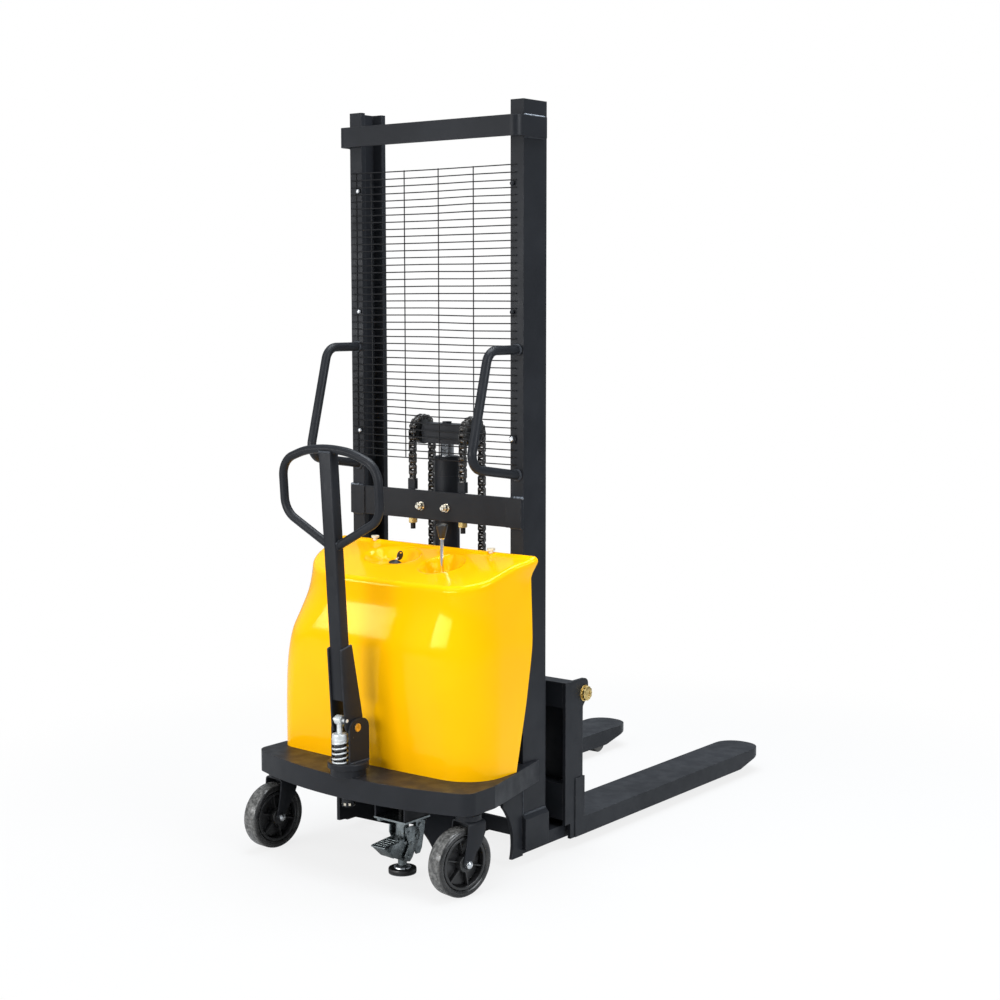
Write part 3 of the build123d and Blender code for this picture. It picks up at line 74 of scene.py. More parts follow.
lens = bpy.data.cameras.new("camera")
lens.lens = 63.0
lens.sensor_width = 36.0
lens.shift_x = -0.0065
lens.shift_y = -0.0067
camera = bpy.data.objects.new("camera", lens)
bpy.context.scene.collection.objects.link(camera)
camera.location = (3.1153, MAST_REAR - 3.6793, 1.5192)
camera.rotation_euler = (radians(90 - LOOK_DOWN), 0, radians(LOOK_LEFT))
bpy.context.scene.camera = camera
bpy.context.scene.view_settings.view_transform = "Standard"
print("camera at", tuple(camera.location), "lens", lens.lens)

# %% [markdown]
# ## Tools for finishes
# Every finish is a principled shader with a colour that wanders a little, a roughness that wanders
# with it, and a fine bump. All patterns read Object coordinates, which are metres here, so a scale
# of 520 is a grain of two millimetres. Painted steel also gets soft, slightly rubbed edges: a
# Bevel node turns the normal near an edge, and its angle to the true one says how close the edge
# is.

# %% Tools for finishes
def new_finish(name, metallic=0.0):
    """An empty finish: the material, its node tree and its principled shader."""
    finish = bpy.data.materials.new(name)
    finish.use_nodes = True
    shader = finish.node_tree.nodes["Principled BSDF"]
    shader.inputs["Metallic"].default_value = metallic
    return finish, finish.node_tree, shader


def put(tree, kind, inputs=None, out=0, **settings):
    """One output of a new node. Sockets among its inputs are linked, other values are set."""
    node = tree.nodes.new(kind)
    for name, value in settings.items():
        setattr(node, name, value)
    for key, value in (inputs or {}).items():
        if isinstance(value, bpy.types.NodeSocket):
            tree.links.new(value, node.inputs[key])
        else:
            node.inputs[key].default_value = value
    return node.outputs[out]


def place_in(tree):
    """Object coordinates, in metres."""
    return put(tree, "ShaderNodeTexCoord", out="Object")


def grain(tree, scale, detail=3.0, stretch=(1, 1, 1)):
    """Noise of the given number of waves per metre, pulled long where stretch is small."""
    pull = put(tree, "ShaderNodeMapping", {"Vector": place_in(tree), "Scale": stretch})
    return put(tree, "ShaderNodeTexNoise", {"Vector": pull, "Scale": scale, "Detail": detail})


def spread(tree, value, low, high, start=0.3, end=0.7):
    """The value between start and end, spread from low to high."""
    inputs = {"Value": value, "From Min": start, "From Max": end, "To Min": low, "To Max": high}
    return put(tree, "ShaderNodeMapRange", inputs, interpolation_type="SMOOTHSTEP")


def tint(tree, factor, dark, light):
    """Two colours, or sockets of colour, mixed by a factor from 0 to 1."""
    dark, light = [(*c, 1) if isinstance(c, tuple) else c for c in (dark, light)]
    inputs = {"Factor": factor, 6: dark, 7: light}
    return put(tree, "ShaderNodeMix", inputs, out=2, data_type="RGBA")


def times(tree, a, b):
    """Two values multiplied."""
    return put(tree, "ShaderNodeMath", {0: a, 1: b}, operation="MULTIPLY")


def dimples(tree, height, strength, depth, normal=None):
    """Bump from a height, on top of another normal if there is one."""
    inputs = {"Strength": strength, "Distance": depth, "Height": height}
    if normal is not None:
        inputs["Normal"] = normal
    return put(tree, "ShaderNodeBump", inputs)


def soft_edge(tree, radius):
    """The normal of rounded edges, and a mask that is 1 along them."""
    normal = put(tree, "ShaderNodeBevel", {"Radius": radius}, samples=4)
    pair = {0: normal, 1: put(tree, "ShaderNodeNewGeometry", out="Normal")}
    angle = put(tree, "ShaderNodeVectorMath", pair, "Value", operation="DOT_PRODUCT")
    return normal, spread(tree, angle, 1, 0, 0.8, 0.99)


def coat(tree, shader, colour, rough, normal):
    """Links colour, roughness and normal to the shader."""
    for name, value in (("Base Color", colour), ("Roughness", rough), ("Normal", normal)):
        tree.links.new(value, shader.inputs[name])


def lay_over(finish, mask, colour):
    """Lays a colour over a finish where the mask is 1."""
    tree = finish.node_tree
    base = tree.nodes["Principled BSDF"].inputs["Base Color"]
    tree.links.new(tint(tree, mask, base.links[0].from_socket, colour), base)


print("finish tools ready")

# %% [markdown]
# ## Floor, lamps and sky
# A product picture has a white ground with only a soft shadow. The floor is a grey sheet; where
# the camera looks at it, most of what it sees is plain white, and the rest is the lit floor, which
# keeps the shadow; two metres out that share fades away, so the sheet meets the sky without a
# line. Shiny parts see the real room instead, because black paint looks grey in an all-white one.
# Three large soft lamps give long quiet highlights, a key above the operator's end, a fill on the
# right and a wide one overhead, and two panes stand in for the window that shines on the cover.

# %% Floor, lamps and sky
def see_white(tree):
    """A value of 1 for rays from the camera or through something clear."""
    rays = {0: put(tree, "ShaderNodeLightPath", out="Is Camera Ray"),
            1: put(tree, "ShaderNodeLightPath", out="Is Transmission Ray")}
    return put(tree, "ShaderNodeMath", rays, operation="MAXIMUM")


def blended(tree, share, first, second, end):
    """Two shaders blended by a share and linked to the end of the tree."""
    blend = put(tree, "ShaderNodeMixShader", {0: share, 1: first, 2: second})
    tree.links.new(blend, tree.nodes[end].inputs[0])


bpy.ops.object.select_all(action="DESELECT")
bpy.ops.mesh.primitive_plane_add(size=60, location=(0, 0, -0.0005))
floor = bpy.context.active_object
floor.name = "studio_floor"
sheet, tree, shader = new_finish("studio_floor")
shader.inputs["Base Color"].default_value = (0.5, 0.5, 0.5, 1)
shader.inputs["Roughness"].default_value = 0.9
glow = put(tree, "ShaderNodeEmission")
away = put(tree, "ShaderNodeVectorMath", {0: place_in(tree)}, "Value", operation="LENGTH")
share = times(tree, see_white(tree), spread(tree, away, 0.82, 1.0, 1.0, 2.2))
blended(tree, share, shader.outputs[0], glow, "Material Output")
floor.data.materials.append(sheet)

sky = bpy.data.worlds.new("studio_sky")
bpy.context.scene.world = sky
sky.use_nodes = True
tree = sky.node_tree
room = tree.nodes["Background"]
room.inputs[0].default_value = (0.86, 0.93, 1.0, 1)
room.inputs[1].default_value = 0.36
white = put(tree, "ShaderNodeBackground", {0: (1, 1, 1, 1), 1: 1.0})
blended(tree, see_white(tree), room.outputs[0], white, "World Output")


def lamp(name, place, aim, wide, tall, watts, colour=(1, 1, 1)):
    """A soft lamp turned towards a point of the machine."""
    light = bpy.data.lights.new(name, "AREA")
    light.shape = "RECTANGLE"
    light.size = wide
    light.size_y = tall
    light.energy = watts
    light.color = colour
    holder = bpy.data.objects.new(name, light)
    bpy.context.scene.collection.objects.link(holder)
    holder.location = place
    turn = Vector(aim) - Vector(place)
    holder.rotation_euler = turn.to_track_quat("-Z", "Y").to_euler()


lamp("key", (-0.6, -4.2, 4.3), (0, -0.4, 0.9), 3.4, 2.4, 76)
lamp("fill", (4.6, -0.6, 2.6), (0.2, 0, 0.8), 2.6, 2.6, 145, (0.92, 0.96, 1.0))
lamp("overhead", (0.2, 0.2, 4.6), (0, 0, 0), 3.0, 3.0, 300, (0.90, 0.95, 1.0))
lamp("pane_left", (-3.6, -4.35, 1.5), (0, -0.6, 0.7), 0.9, 1.1, 36)
lamp("pane_right", (-0.75, -5.6, 1.5), (0.1, -0.6, 0.7), 3.4, 1.1, 165)

# %% [markdown]
# ## Black powder coat
# Mast, tray, forks and handles carry a baked powder coat: satin, faintly orange-peeled, a touch
# blue where it catches light. Handling rubs its edges and leaves pale dusty patches, so the edge
# mask is broken up by noise and both lighten the paint only a little.

# %% Black powder coat
def powder_coat(name, colour, rubbed, edge, rough):
    """Satin paint with dusty patches and rubbed edges."""
    finish, tree, shader = new_finish(name)
    shader.inputs["Specular IOR Level"].default_value = 0.13
    normal, mask = soft_edge(tree, edge)
    dust = spread(tree, grain(tree, 5, 4), 0, 1, 0.35, 0.75)
    chips = times(tree, mask, spread(tree, grain(tree, 60, 4), 0.1, 1, 0.4, 0.65))
    base = tint(tree, dust, colour, tuple(1.35 * c for c in colour))
    gloss = spread(tree, grain(tree, 24, 5), rough - 0.07, rough + 0.09)
    peel = dimples(tree, grain(tree, 520, 2), 0.16, 0.0006, normal)
    coat(tree, shader, tint(tree, chips, base, rubbed), gloss, peel)
    return finish


black_paint = powder_coat(
    "black_paint", (0.0135, 0.0145, 0.017), (0.075, 0.075, 0.08), 0.0022, 0.36)
wire_paint = powder_coat(
    "wire_paint", (0.010, 0.010, 0.011), (0.04, 0.04, 0.04), 0.0005, 0.42)
# The beads' coat is a little lighter than the frame's: a painted sheen.
sheen_bead_paint = powder_coat(
    "sheen_bead_paint", (0.034, 0.037, 0.043), (0.13, 0.14, 0.15), 0.001, 0.36)
print("powder coats", black_paint.name, wire_paint.name, sheen_bead_paint.name)

# %% [markdown]
# ## Yellow moulding
# The cover is a glossy shell in a strong warm yellow. Up close the gloss wanders a little, the
# surface has a long, low waviness from the mould, and small scuffs show as duller spots.

# %% Yellow moulding
yellow_cover, tree, shader = new_finish("yellow_cover")
shade = spread(tree, grain(tree, 3, 2), 0, 1)
colour = tint(tree, shade, (0.95, 0.44, 0.001), (0.97, 0.48, 0.0012))
scuffs = spread(tree, grain(tree, 60, 6), 0.10, 0.17, 0.45, 0.75)
waves = dimples(tree, grain(tree, 7, 1), 0.06, 0.004)
coat(tree, shader, colour, scuffs, dimples(tree, grain(tree, 420, 2), 0.05, 0.0005, waves))
shader.inputs["Specular IOR Level"].default_value = 0.28
shader.inputs["Specular Tint"].default_value = (1.0, 0.94, 0.24, 1)
print("cover finish", yellow_cover.name)

# %% [markdown]
# ## Metals
# Plated screws, the chrome rod and the oiled chain differ in colour, in how sharp their shine is,
# and in the marks of their making: cloudy plating, lines along a ground rod, dark cloudy steel in
# the chain. The spring's dulled plating is only partly metallic, and the upper part of the floor
# lock's plunger is painted black, a painted shade where it runs up inside the channel above the
# lock plate.

# %% Metals
def metal(name, dark, light, rough, cloud, stretch=(1, 1, 1), edge=0.0006):
    """Metal with cloudy patches, brighter along its edges."""
    finish, tree, shader = new_finish(name, 1.0)
    normal, mask = soft_edge(tree, edge)
    patch = spread(tree, grain(tree, cloud, 4, stretch), 0, 1, 0.35, 0.65)
    bright = tuple(min(1.0, 1.15 * c) for c in light)
    colour = tint(tree, mask, tint(tree, patch, dark, light), bright)
    shine = spread(tree, grain(tree, 3 * cloud, 5, stretch), rough - 0.06, rough + 0.08)
    lines = dimples(tree, grain(tree, 700, 3, stretch), 0.08, 0.0003, normal)
    coat(tree, shader, colour, shine, lines)
    return finish


DULL = (0.16, 0.18, 0.185), (0.24, 0.265, 0.27), 0.31, 60
PAINTED_SHADE_LOW, PAINTED_SHADE_HIGH = 0.150, 0.165

zinc = metal("zinc", (0.50, 0.52, 0.54), (0.68, 0.69, 0.70), 0.30, 70)
dull_zinc = metal("dull_zinc", *DULL)
pale_zinc = metal("pale_zinc", (0.50, 0.52, 0.52), (0.66, 0.675, 0.67), 0.42, 70)
pale_zinc.node_tree.nodes["Principled BSDF"].inputs["Metallic"].default_value = 0.45
# Black over the plunger's upper part: painted shade inside the channel above the lock plate.
painted_shade_zinc = metal("painted_shade_zinc", *DULL)
tree = painted_shade_zinc.node_tree
height = put(tree, "ShaderNodeSeparateXYZ", {0: place_in(tree)}, "Z")
upper = spread(tree, height, 0, 1, PAINTED_SHADE_LOW, PAINTED_SHADE_HIGH)
lay_over(painted_shade_zinc, upper, (0.012, 0.012, 0.012))
warm_zinc = metal("warm_zinc", (0.55, 0.50, 0.40), (0.78, 0.74, 0.64), 0.26, 80)
yellow_zinc = metal("yellow_zinc", (0.50, 0.36, 0.13), (0.72, 0.55, 0.24), 0.32, 90)
chrome = metal("chrome", (0.70, 0.71, 0.73), (0.80, 0.81, 0.82), 0.10, 40, (1, 1, 0.05))
chain_steel = metal(
    "chain_steel", (0.045, 0.042, 0.04), (0.17, 0.165, 0.16), 0.38, 120, edge=0.0008)
dark_steel = metal("dark_steel", (0.06, 0.06, 0.06), (0.14, 0.14, 0.14), 0.42, 60)
pump_metal = metal("pump_metal", (0.26, 0.27, 0.28), (0.36, 0.37, 0.38), 0.5, 50)
bead_steel = metal("bead_steel", (0.09, 0.10, 0.115), (0.24, 0.26, 0.29), 0.45, 160)
print("metals", zinc.name, chrome.name, chain_steel.name)

# %% [markdown]
# ## Plastics and tyres
# Hubs, knob and key are moulded plastic with a fine grain. The caster tyres are smoky urethane: a
# little light passes through the rim, and the tread is lighter, partly dust and partly a painted
# sheen, where the tyre's own "dust" attribute marks it. The cover's two screws are cream nylon.

# %% Plastics and tyres
def moulded(name, dark, light, rough, grit=900):
    """Plastic with faint patches and a fine grain."""
    finish, tree, shader = new_finish(name)
    normal, _ = soft_edge(tree, 0.0008)
    patch = spread(tree, grain(tree, 30, 4), 0, 1, 0.35, 0.7)
    gloss = spread(tree, grain(tree, 80, 4), rough - 0.06, rough + 0.08)
    bumps = dimples(tree, grain(tree, grit, 2), 0.12, 0.0004, normal)
    coat(tree, shader, tint(tree, patch, dark, light), gloss, bumps)
    return finish


hub_plastic = moulded("hub_plastic", (0.009, 0.009, 0.009), (0.018, 0.018, 0.019), 0.32)
black_plastic = moulded("black_plastic", (0.008, 0.008, 0.008), (0.014, 0.014, 0.014), 0.34)
cream_plastic = moulded("cream_plastic", (0.70, 0.64, 0.50), (0.82, 0.77, 0.64), 0.4)
battery_case = moulded("battery_case", (0.03, 0.03, 0.033), (0.05, 0.05, 0.055), 0.45)
nylon = moulded("nylon", (0.10, 0.095, 0.09), (0.16, 0.15, 0.14), 0.5)
tyre_urethane = moulded(
    "tyre_urethane", (0.010, 0.010, 0.010), (0.032, 0.031, 0.030), 0.22, 300)
tree = tyre_urethane.node_tree
shader = tree.nodes["Principled BSDF"]
shader.inputs["Subsurface Weight"].default_value = 0.2
shader.inputs["Subsurface Radius"].default_value = (0.012, 0.012, 0.012)
# The marked tread is lighter: partly dust, partly a painted sheen.
tread = put(tree, "ShaderNodeAttribute", out="Fac", attribute_name="dust")
patches = spread(tree, grain(tree, 110, 5), 0.25, 1, 0.35, 0.65)
lay_over(tyre_urethane, times(tree, tread, patches), (0.14, 0.138, 0.132))
print("plastics", hub_plastic.name, tyre_urethane.name)

# %% [markdown]
# ## Finishes on the solids
# Most of the machine is welded steel whose solids are already right, so they stay and only take a
# finish.

# %% Finishes on the solids
def both(*names):
    """The right and the left node of each name."""
    return [name + side for name in names for side in ("_right", "_left")]


painted = """top_strap cylinder_crossbar base_beam tray lift_cylinder cylinder_gland crosshead
    chain_anchors carriage_bars roller_plates turntable tiller_handle caster_heads
    lever_mount""".split()
painted += both("mast_post", "grab_handle", "leg", "carriage_side", "fork", "caster_yoke")
turning = both("chain_wheel", "guide_roller_low", "guide_roller_high")
dressed = (
    (black_paint, painted),
    (wire_paint, ["mesh_guard", "mesh_bolts"]),
    (pale_zinc, ["spring_piston", "tiller_spring"]),
    (painted_shade_zinc, ["lock_plunger"]),
    (warm_zinc, ["u_bolt"]),
    (dull_zinc, ["lock_plate", "lock_pedal"]),
    (yellow_zinc, ["tiller_pin", "fork_shaft"]),
    (chrome, ["lift_rod", "control_lever"]),
    (chain_steel, ["chain_wraps", "chain_rear_runs", "chain_front_runs"]),
    (dark_steel, ["load_axles"] + turning),
    (hub_plastic, both("caster_hub")),
    (tyre_urethane, both("caster_tyre")),
    (nylon, both("load_roller")),
    (cream_plastic, ["cover_screws"]),
    (black_plastic, ["key_switch", "start_key"]),
    (yellow_cover, ["cover"]),
    (battery_case, ["battery"]),
    (pump_metal, ["pump_unit"]),
)
for finish, members in dressed:
    for name in members:
        slots = nodes[name].data.materials
        slots.clear()
        slots.append(finish)
bare = sorted(set(nodes) - {name for _, members in dressed for name in members})
print("finishes", len(dressed), "solids without a finish", bare)

# %% [markdown]
# ## Tools for new pieces
# Sizes on this machine were drawn in millimetres from the rear face of the mast, so the first tool
# turns such a place into the shared frame. The others are the bench tools: start from a simple
# shape, mark part of it, put on a modifier and make it real, set down a copy, weld copies into one
# piece and, at the end, paint it and tell which body it rides.

# %% Tools for new pieces
UP = Vector((0, 0, 1))


def at(x, y, z):
    """A place given in millimetres from the mast's rear face, in the shared frame."""
    return Vector((x / 1000, y / 1000 + MAST_REAR, z / 1000))


def about(axis, degrees):
    """A turn about an axis."""
    return Matrix.Rotation(radians(degrees), 3, axis)


def in_hand(piece):
    """Selects only this piece."""
    bpy.ops.object.select_all(action="DESELECT")
    piece.select_set(True)
    bpy.context.view_layer.objects.active = piece


def fresh(add, **settings):
    """A new piece from one of the simple shapes."""
    bpy.ops.object.select_all(action="DESELECT")
    add(**settings)
    return bpy.context.active_object


def mark(piece, wanted=lambda part: True, kind="FACE"):
    """Goes into edit mode with the faces or corners marked that pass the test."""
    in_hand(piece)
    bpy.ops.object.mode_set(mode="EDIT")
    bpy.ops.mesh.select_mode(type=kind)
    bpy.ops.mesh.select_all(action="DESELECT")
    bpy.ops.object.mode_set(mode="OBJECT")
    for part in piece.data.polygons if kind == "FACE" else piece.data.vertices:
        part.select = wanted(part)
    bpy.ops.object.mode_set(mode="EDIT")


def is_top(face):
    """Whether a face looks up."""
    return face.normal.z > 0.9


def draw_out(height):
    """Extrudes what is marked, upward or, with a minus sign, downward."""
    bpy.ops.mesh.extrude_region_move(TRANSFORM_OT_translate={"value": (0, 0, height)})


def done(piece):
    """Back to object mode."""
    bpy.ops.object.mode_set(mode="OBJECT")
    return piece


def bored(piece, wanted, inset, height):
    """Insets the faces that pass the test and draws them out or in."""
    mark(piece, wanted)
    bpy.ops.mesh.inset(thickness=inset)
    draw_out(height)
    return done(piece)


def stepped(piece, wanted, *steps):
    """Insets the faces that pass the test and raises them, once for each step."""
    mark(piece, wanted)
    for inset, rise in steps:
        bpy.ops.mesh.inset(thickness=inset)
        bpy.ops.transform.translate(value=rise)
    return done(piece)


def sliced(piece, axis, cuts):
    """Cuts new edges across a piece at some places along an axis."""
    mark(piece, kind="VERT")
    for cut in cuts:
        bpy.ops.mesh.select_all(action="SELECT")
        bpy.ops.mesh.bisect(plane_co=axis * cut, plane_no=axis)
    return done(piece)


def facing_out(piece):
    """Turns every face outward."""
    mark(piece)
    bpy.ops.mesh.normals_make_consistent(inside=False)
    return done(piece)


def worked(piece, kind, **settings):
    """Puts a modifier on and applies it."""
    in_hand(piece)
    tool = piece.modifiers.new(kind, kind)
    for name, value in settings.items():
        setattr(tool, name, value)
    bpy.ops.object.modifier_apply(modifier=tool.name)
    return piece


def bevelled(piece, width, segments, degrees):
    """Rounds the edges that are sharper than an angle."""
    return worked(piece, "BEVEL", width=width, segments=segments, limit_method="ANGLE",
                  angle_limit=radians(degrees))


def row_of(piece, count, step):
    """Repeats a piece with a step between."""
    return worked(piece, "ARRAY", count=count, use_relative_offset=False,
                  use_constant_offset=True, constant_offset_displace=step)


def cut_out(piece, tool):
    """Cuts the shape of a tool out of a piece and throws the tool away."""
    worked(piece, "BOOLEAN", operation="DIFFERENCE", solver="EXACT", object=tool)
    bpy.data.objects.remove(tool)


def moved(piece, place, turn=None):
    """Shifts the mesh itself, so that the object stays at the origin."""
    turn = turn.to_4x4() if turn else Matrix.Identity(4)
    piece.data.transform(Matrix.Translation(place) @ turn)
    return piece


def scaled(piece, *factors):
    """Stretches the mesh itself along x, y and z."""
    piece.data.transform(Matrix.Diagonal((*factors, 1)))
    return piece


def rod(radius, length, sides=16, axis="Z"):
    """A round bar about the origin along an axis, with its ends broken."""
    bar = fresh(bpy.ops.mesh.primitive_cylinder_add, vertices=sides, radius=radius, depth=length)
    bevelled(bar, 0.16 * radius, 1, 60)
    if axis != "Z":
        moved(bar, (0, 0, 0), about("Y" if axis == "X" else "X", 90))
    return bar


def block(wide, deep, tall):
    """A box about the origin."""
    return scaled(fresh(bpy.ops.mesh.primitive_cube_add, size=1), wide, deep, tall)


def ring(radius, thick, around, across):
    """A round ring about the z axis."""
    return fresh(bpy.ops.mesh.primitive_torus_add, major_radius=radius, minor_radius=thick,
                 major_segments=around, minor_segments=across)


def half_ball(radius, segments, *factors):
    """The upper half of a ball, stretched or pressed flat along x, y and z."""
    ball = fresh(bpy.ops.mesh.primitive_uv_sphere_add, segments=segments,
                 ring_count=segments // 2, radius=radius)
    mark(ball)
    bpy.ops.mesh.bisect(plane_co=(0, 0, 0), plane_no=UP, clear_inner=True, use_fill=True)
    return scaled(done(ball), *factors)


def copy_at(piece, place, turn=None):
    """A copy with a mesh of its own, set down at a place."""
    twin = piece.copy()
    twin.data = piece.data.copy()
    bpy.context.scene.collection.objects.link(twin)
    return moved(twin, place, turn)


def scrap(*pieces):
    """Throws away patterns that were only there to be copied."""
    for piece in pieces:
        bpy.data.objects.remove(piece)


def welded(pieces, name):
    """Several meshes joined into one named piece."""
    in_hand(pieces[0])
    for other in pieces:
        other.select_set(True)
    if len(pieces) > 1:
        bpy.ops.object.join()
    bpy.context.active_object.name = name
    return bpy.context.active_object


def fitted(pieces, name, finish, body, replaced=(), smooth=40):
    """Welds pieces into one, paints and smooths it and ties it to its body."""
    piece = welded(pieces, name)
    bpy.ops.object.shade_smooth_by_angle(angle=radians(smooth))
    piece.data.materials.clear()
    piece.data.materials.append(finish)
    if body:
        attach(piece, body)
    if replaced:
        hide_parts(*replaced)
    print(piece.name, len(piece.data.polygons), "faces")
    return piece


print("bench tools ready, mast's rear face at y =", MAST_REAR)

# %% [markdown]
# ## Mesh guard
# A guard of crossed round wires keeps hands out of the mast: five uprights in front and forty-one
# rungs behind them, spot welded where they cross. A plane with a net on it would look flat from
# the side, so the wires are real bars. Cut wire is never quite straight, so a soft wander of a
# millimetre goes over the rungs.

# %% Mesh guard
WIRE = 0.0016
RUNGS, RUNG_STEP, RUNG_LENGTH = 41, 0.01975, 0.587
UPRIGHTS, UPRIGHT_LENGTH = (-284, -227, -104.75, 17.5, 139.75), 0.7935

rung = rod(WIRE, RUNG_LENGTH, 8, "X")
sliced(rung, Vector((1, 0, 0)), (-0.14, 0.0, 0.14))
moved(rung, at(-8.5, -4.4, 1089))
row_of(rung, RUNGS, (0, 0, RUNG_STEP))
wander = bpy.data.textures.new("wander", "CLOUDS")
wander.noise_scale = 0.16
worked(rung, "DISPLACE", texture=wander, texture_coords="GLOBAL", direction="Z",
       strength=0.006, mid_level=0.5)
uprights = [moved(rod(WIRE, UPRIGHT_LENGTH, 8), at(x, -1.5, 1484)) for x in UPRIGHTS]
fitted([rung] + uprights, "mesh_wires", wire_paint, "frame", ["mesh_guard"])

# %% [markdown]
# ## Lift chains
# Two roller chains carry the forks: from a rod on the crossbar up over a wheel on the crosshead
# and down to the carriage. A chain is only two links in turn, an inner one with its rollers and an
# outer one with its pins; everything else is repetition. A plate starts as a disc: its upper half
# moves up by one pitch, a cut goes through the middle, and the cut is pulled in to the waist.

# %% One inner and one outer link
PITCH = 0.016


def plate(x):
    """One waisted side plate, from the pin at the origin up to the next pin."""
    side = moved(rod(0.0078, 0.0022, 12, "X"), (0, 0, 0), about("X", 15))
    mark(side, lambda v: v.co.z > 0, "VERT")
    bpy.ops.transform.translate(value=(0, 0, PITCH))
    sliced(done(side), UP, [PITCH / 2])
    mark(side, lambda v: abs(v.co.z - PITCH / 2) < 1e-5, "VERT")
    bpy.ops.transform.resize(value=(1, 0.88, 1), center_override=(0, 0, PITCH / 2))
    return moved(done(side), (x, 0, 0))


def chain_link(name, half, radius, length, sides):
    """Two plates, and a roller or pin through each of their ends."""
    plates = [plate(x) for x in (-half, half)]
    bars = [moved(rod(radius, length, sides, "X"), (0, 0, z)) for z in (0, PITCH)]
    return welded(plates + bars, name)


inner_link = chain_link("inner_link", 0.0064, 0.0073, 0.0106, 10)
outer_link = chain_link("outer_link", 0.0089, 0.0030, 0.0230, 8)
print("links", len(inner_link.data.polygons), len(outer_link.data.polygons))

# %% [markdown]
# The straight runs are stacks of link pairs, stretched to fill their lengths. The front run
# shortens when the forks rise, and it rides the carriage; the rear run grows as the crosshead goes
# up. Over the wheel the same links follow the arc, eight chords of a half turn.

# %% Chain runs
CHAIN_X = 90.5
WHEEL_Y, WHEEL_Z, WRAP = 53, 1160, 41.5
CHORDS = 8
pair = welded([copy_at(inner_link, (0, 0, 0)), copy_at(outer_link, (0, 0, PITCH))], "link_pair")


def run(y, low, high, count):
    """A straight run of link pairs on both sides, stretched to fill its length."""
    piece = copy_at(pair, (0, 0, 0))
    step = (high - low) / count / 1000
    scaled(piece, 1, 1, step / (2 * PITCH))
    row_of(piece, count, (0, 0, step))
    twin = copy_at(piece, at(-CHAIN_X, y, low))
    return [moved(piece, at(CHAIN_X, y, low)), twin]


front_links = fitted(run(WHEEL_Y + WRAP, 187, WHEEL_Z, 31), "front_links", chain_steel,
                     "carriage", ["chain_front_runs"])
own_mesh(front_links)
rear_links = fitted(run(WHEEL_Y - WRAP, 1030, WHEEL_Z, 4), "rear_links", chain_steel,
                    None, ["chain_rear_runs"])
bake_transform(rear_links)

arc = []
for step in range(CHORDS):
    start, middle = 180 / CHORDS * step, 180 / CHORDS * (step + 0.5)
    y, z = WHEEL_Y - WRAP * cos(radians(start)), WHEEL_Z + WRAP * sin(radians(start))
    for x in (CHAIN_X, -CHAIN_X):
        link = outer_link if step % 2 else inner_link
        arc.append(copy_at(link, at(x, y, z), about("X", -middle)))
fitted(arc, "wheel_links", chain_steel, "lift_head", ["chain_wraps"])
scrap(inner_link, outer_link, pair)

# %% [markdown]
# ## Tiller spring
# The spring under the tiller pushes it upright when it is let go. A round of wire is screwed
# upward four turns, and a flat ring closes each end. Pressing the tiller down shortens the spring;
# here the coil rides the steering head.

# %% Tiller spring
SPRING_Y, SPRING_R, SPRING_WIRE = -391, 0.0193, 0.0025
SPRING_LOW, SPRING_HIGH, SPRING_TURNS = 314, 373, 4
SPRING_STEPS = 28

coil = fresh(bpy.ops.mesh.primitive_circle_add, vertices=10, radius=SPRING_WIRE)
moved(coil, (SPRING_R, 0, 0), about("X", 90))
lift = (SPRING_HIGH - SPRING_LOW) / 1000 - 2 * SPRING_WIRE
worked(coil, "SCREW", angle=radians(360), screw_offset=lift / SPRING_TURNS,
       iterations=SPRING_TURNS, steps=SPRING_STEPS, render_steps=SPRING_STEPS)
moved(coil, at(0, SPRING_Y, SPRING_LOW) + UP * SPRING_WIRE)
rings = []
for z in (SPRING_LOW + 2.5, SPRING_HIGH - 2.5):
    rings.append(moved(ring(SPRING_R, SPRING_WIRE, SPRING_STEPS, 10), at(0, SPRING_Y, z)))
spring = facing_out(welded([coil] + rings, "tiller_coil"))
fitted([spring], "tiller_coil", pale_zinc, "steering_head", ["tiller_spring"], 60)
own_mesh(spring)

# %% [markdown]
# ## Weld beads
# The posts, straps and plates are arc welded by hand, and a hand weld is a row of overlapping
# ripples. Each ripple is a squashed ball of a few faces, set a little more than a third of its
# width on from the last. Most beads carry the coat of the frame in a lighter colour, a painted
# sheen; a few were touched up later and show bare steel.

# %% Weld beads
def bead(start, end, thick):
    """A row of ripples between two places."""
    along = end - start
    count = max(3, round(along.length / (0.75 * thick)))
    ripple = fresh(bpy.ops.mesh.primitive_uv_sphere_add, segments=8, ring_count=5, radius=thick)
    scaled(ripple, 1, 1, 0.62)
    moved(ripple, start, along.to_track_quat("Z", "Y").to_matrix())
    return row_of(ripple, count, along / (count - 1))


BEADS = {
    # start, end and half the thickness of each bead, on the right; the left has the same
    "bare_beads": (bead_steel, "frame", "dark_steel", (
        ((309, 3, 2004.5), (309, 86, 2004.5), 0.0042),
        ((282, -4, 1001.5), (308, -4, 1001.5), 0.0048))),
    "frame_beads": (sheen_bead_paint, "frame", "black_paint", (
        ((309, 3, 1949.5), (309, 86, 1949.5), 0.003),
        ((268, -2, 1000.5), (304, -2, 1000.5), 0.0036),
        ((268, -2, 919.5), (304, -2, 919.5), 0.0036),
        ((307.8, 4, 136), (307.8, 98, 136), 0.0045),
        ((307.3, -0.5, 140), (307.3, -0.5, 208), 0.0028))),
    "carriage_beads": (sheen_bead_paint, "carriage", "black_paint", (
        ((196, 255.5, 79), (327, 255.5, 79), 0.004),)),
    "head_beads": (sheen_bead_paint, "steering_head", "black_paint", (
        ((34.5, -386, 314.5), (34.5, -317, 314.5), 0.0028),)),
}
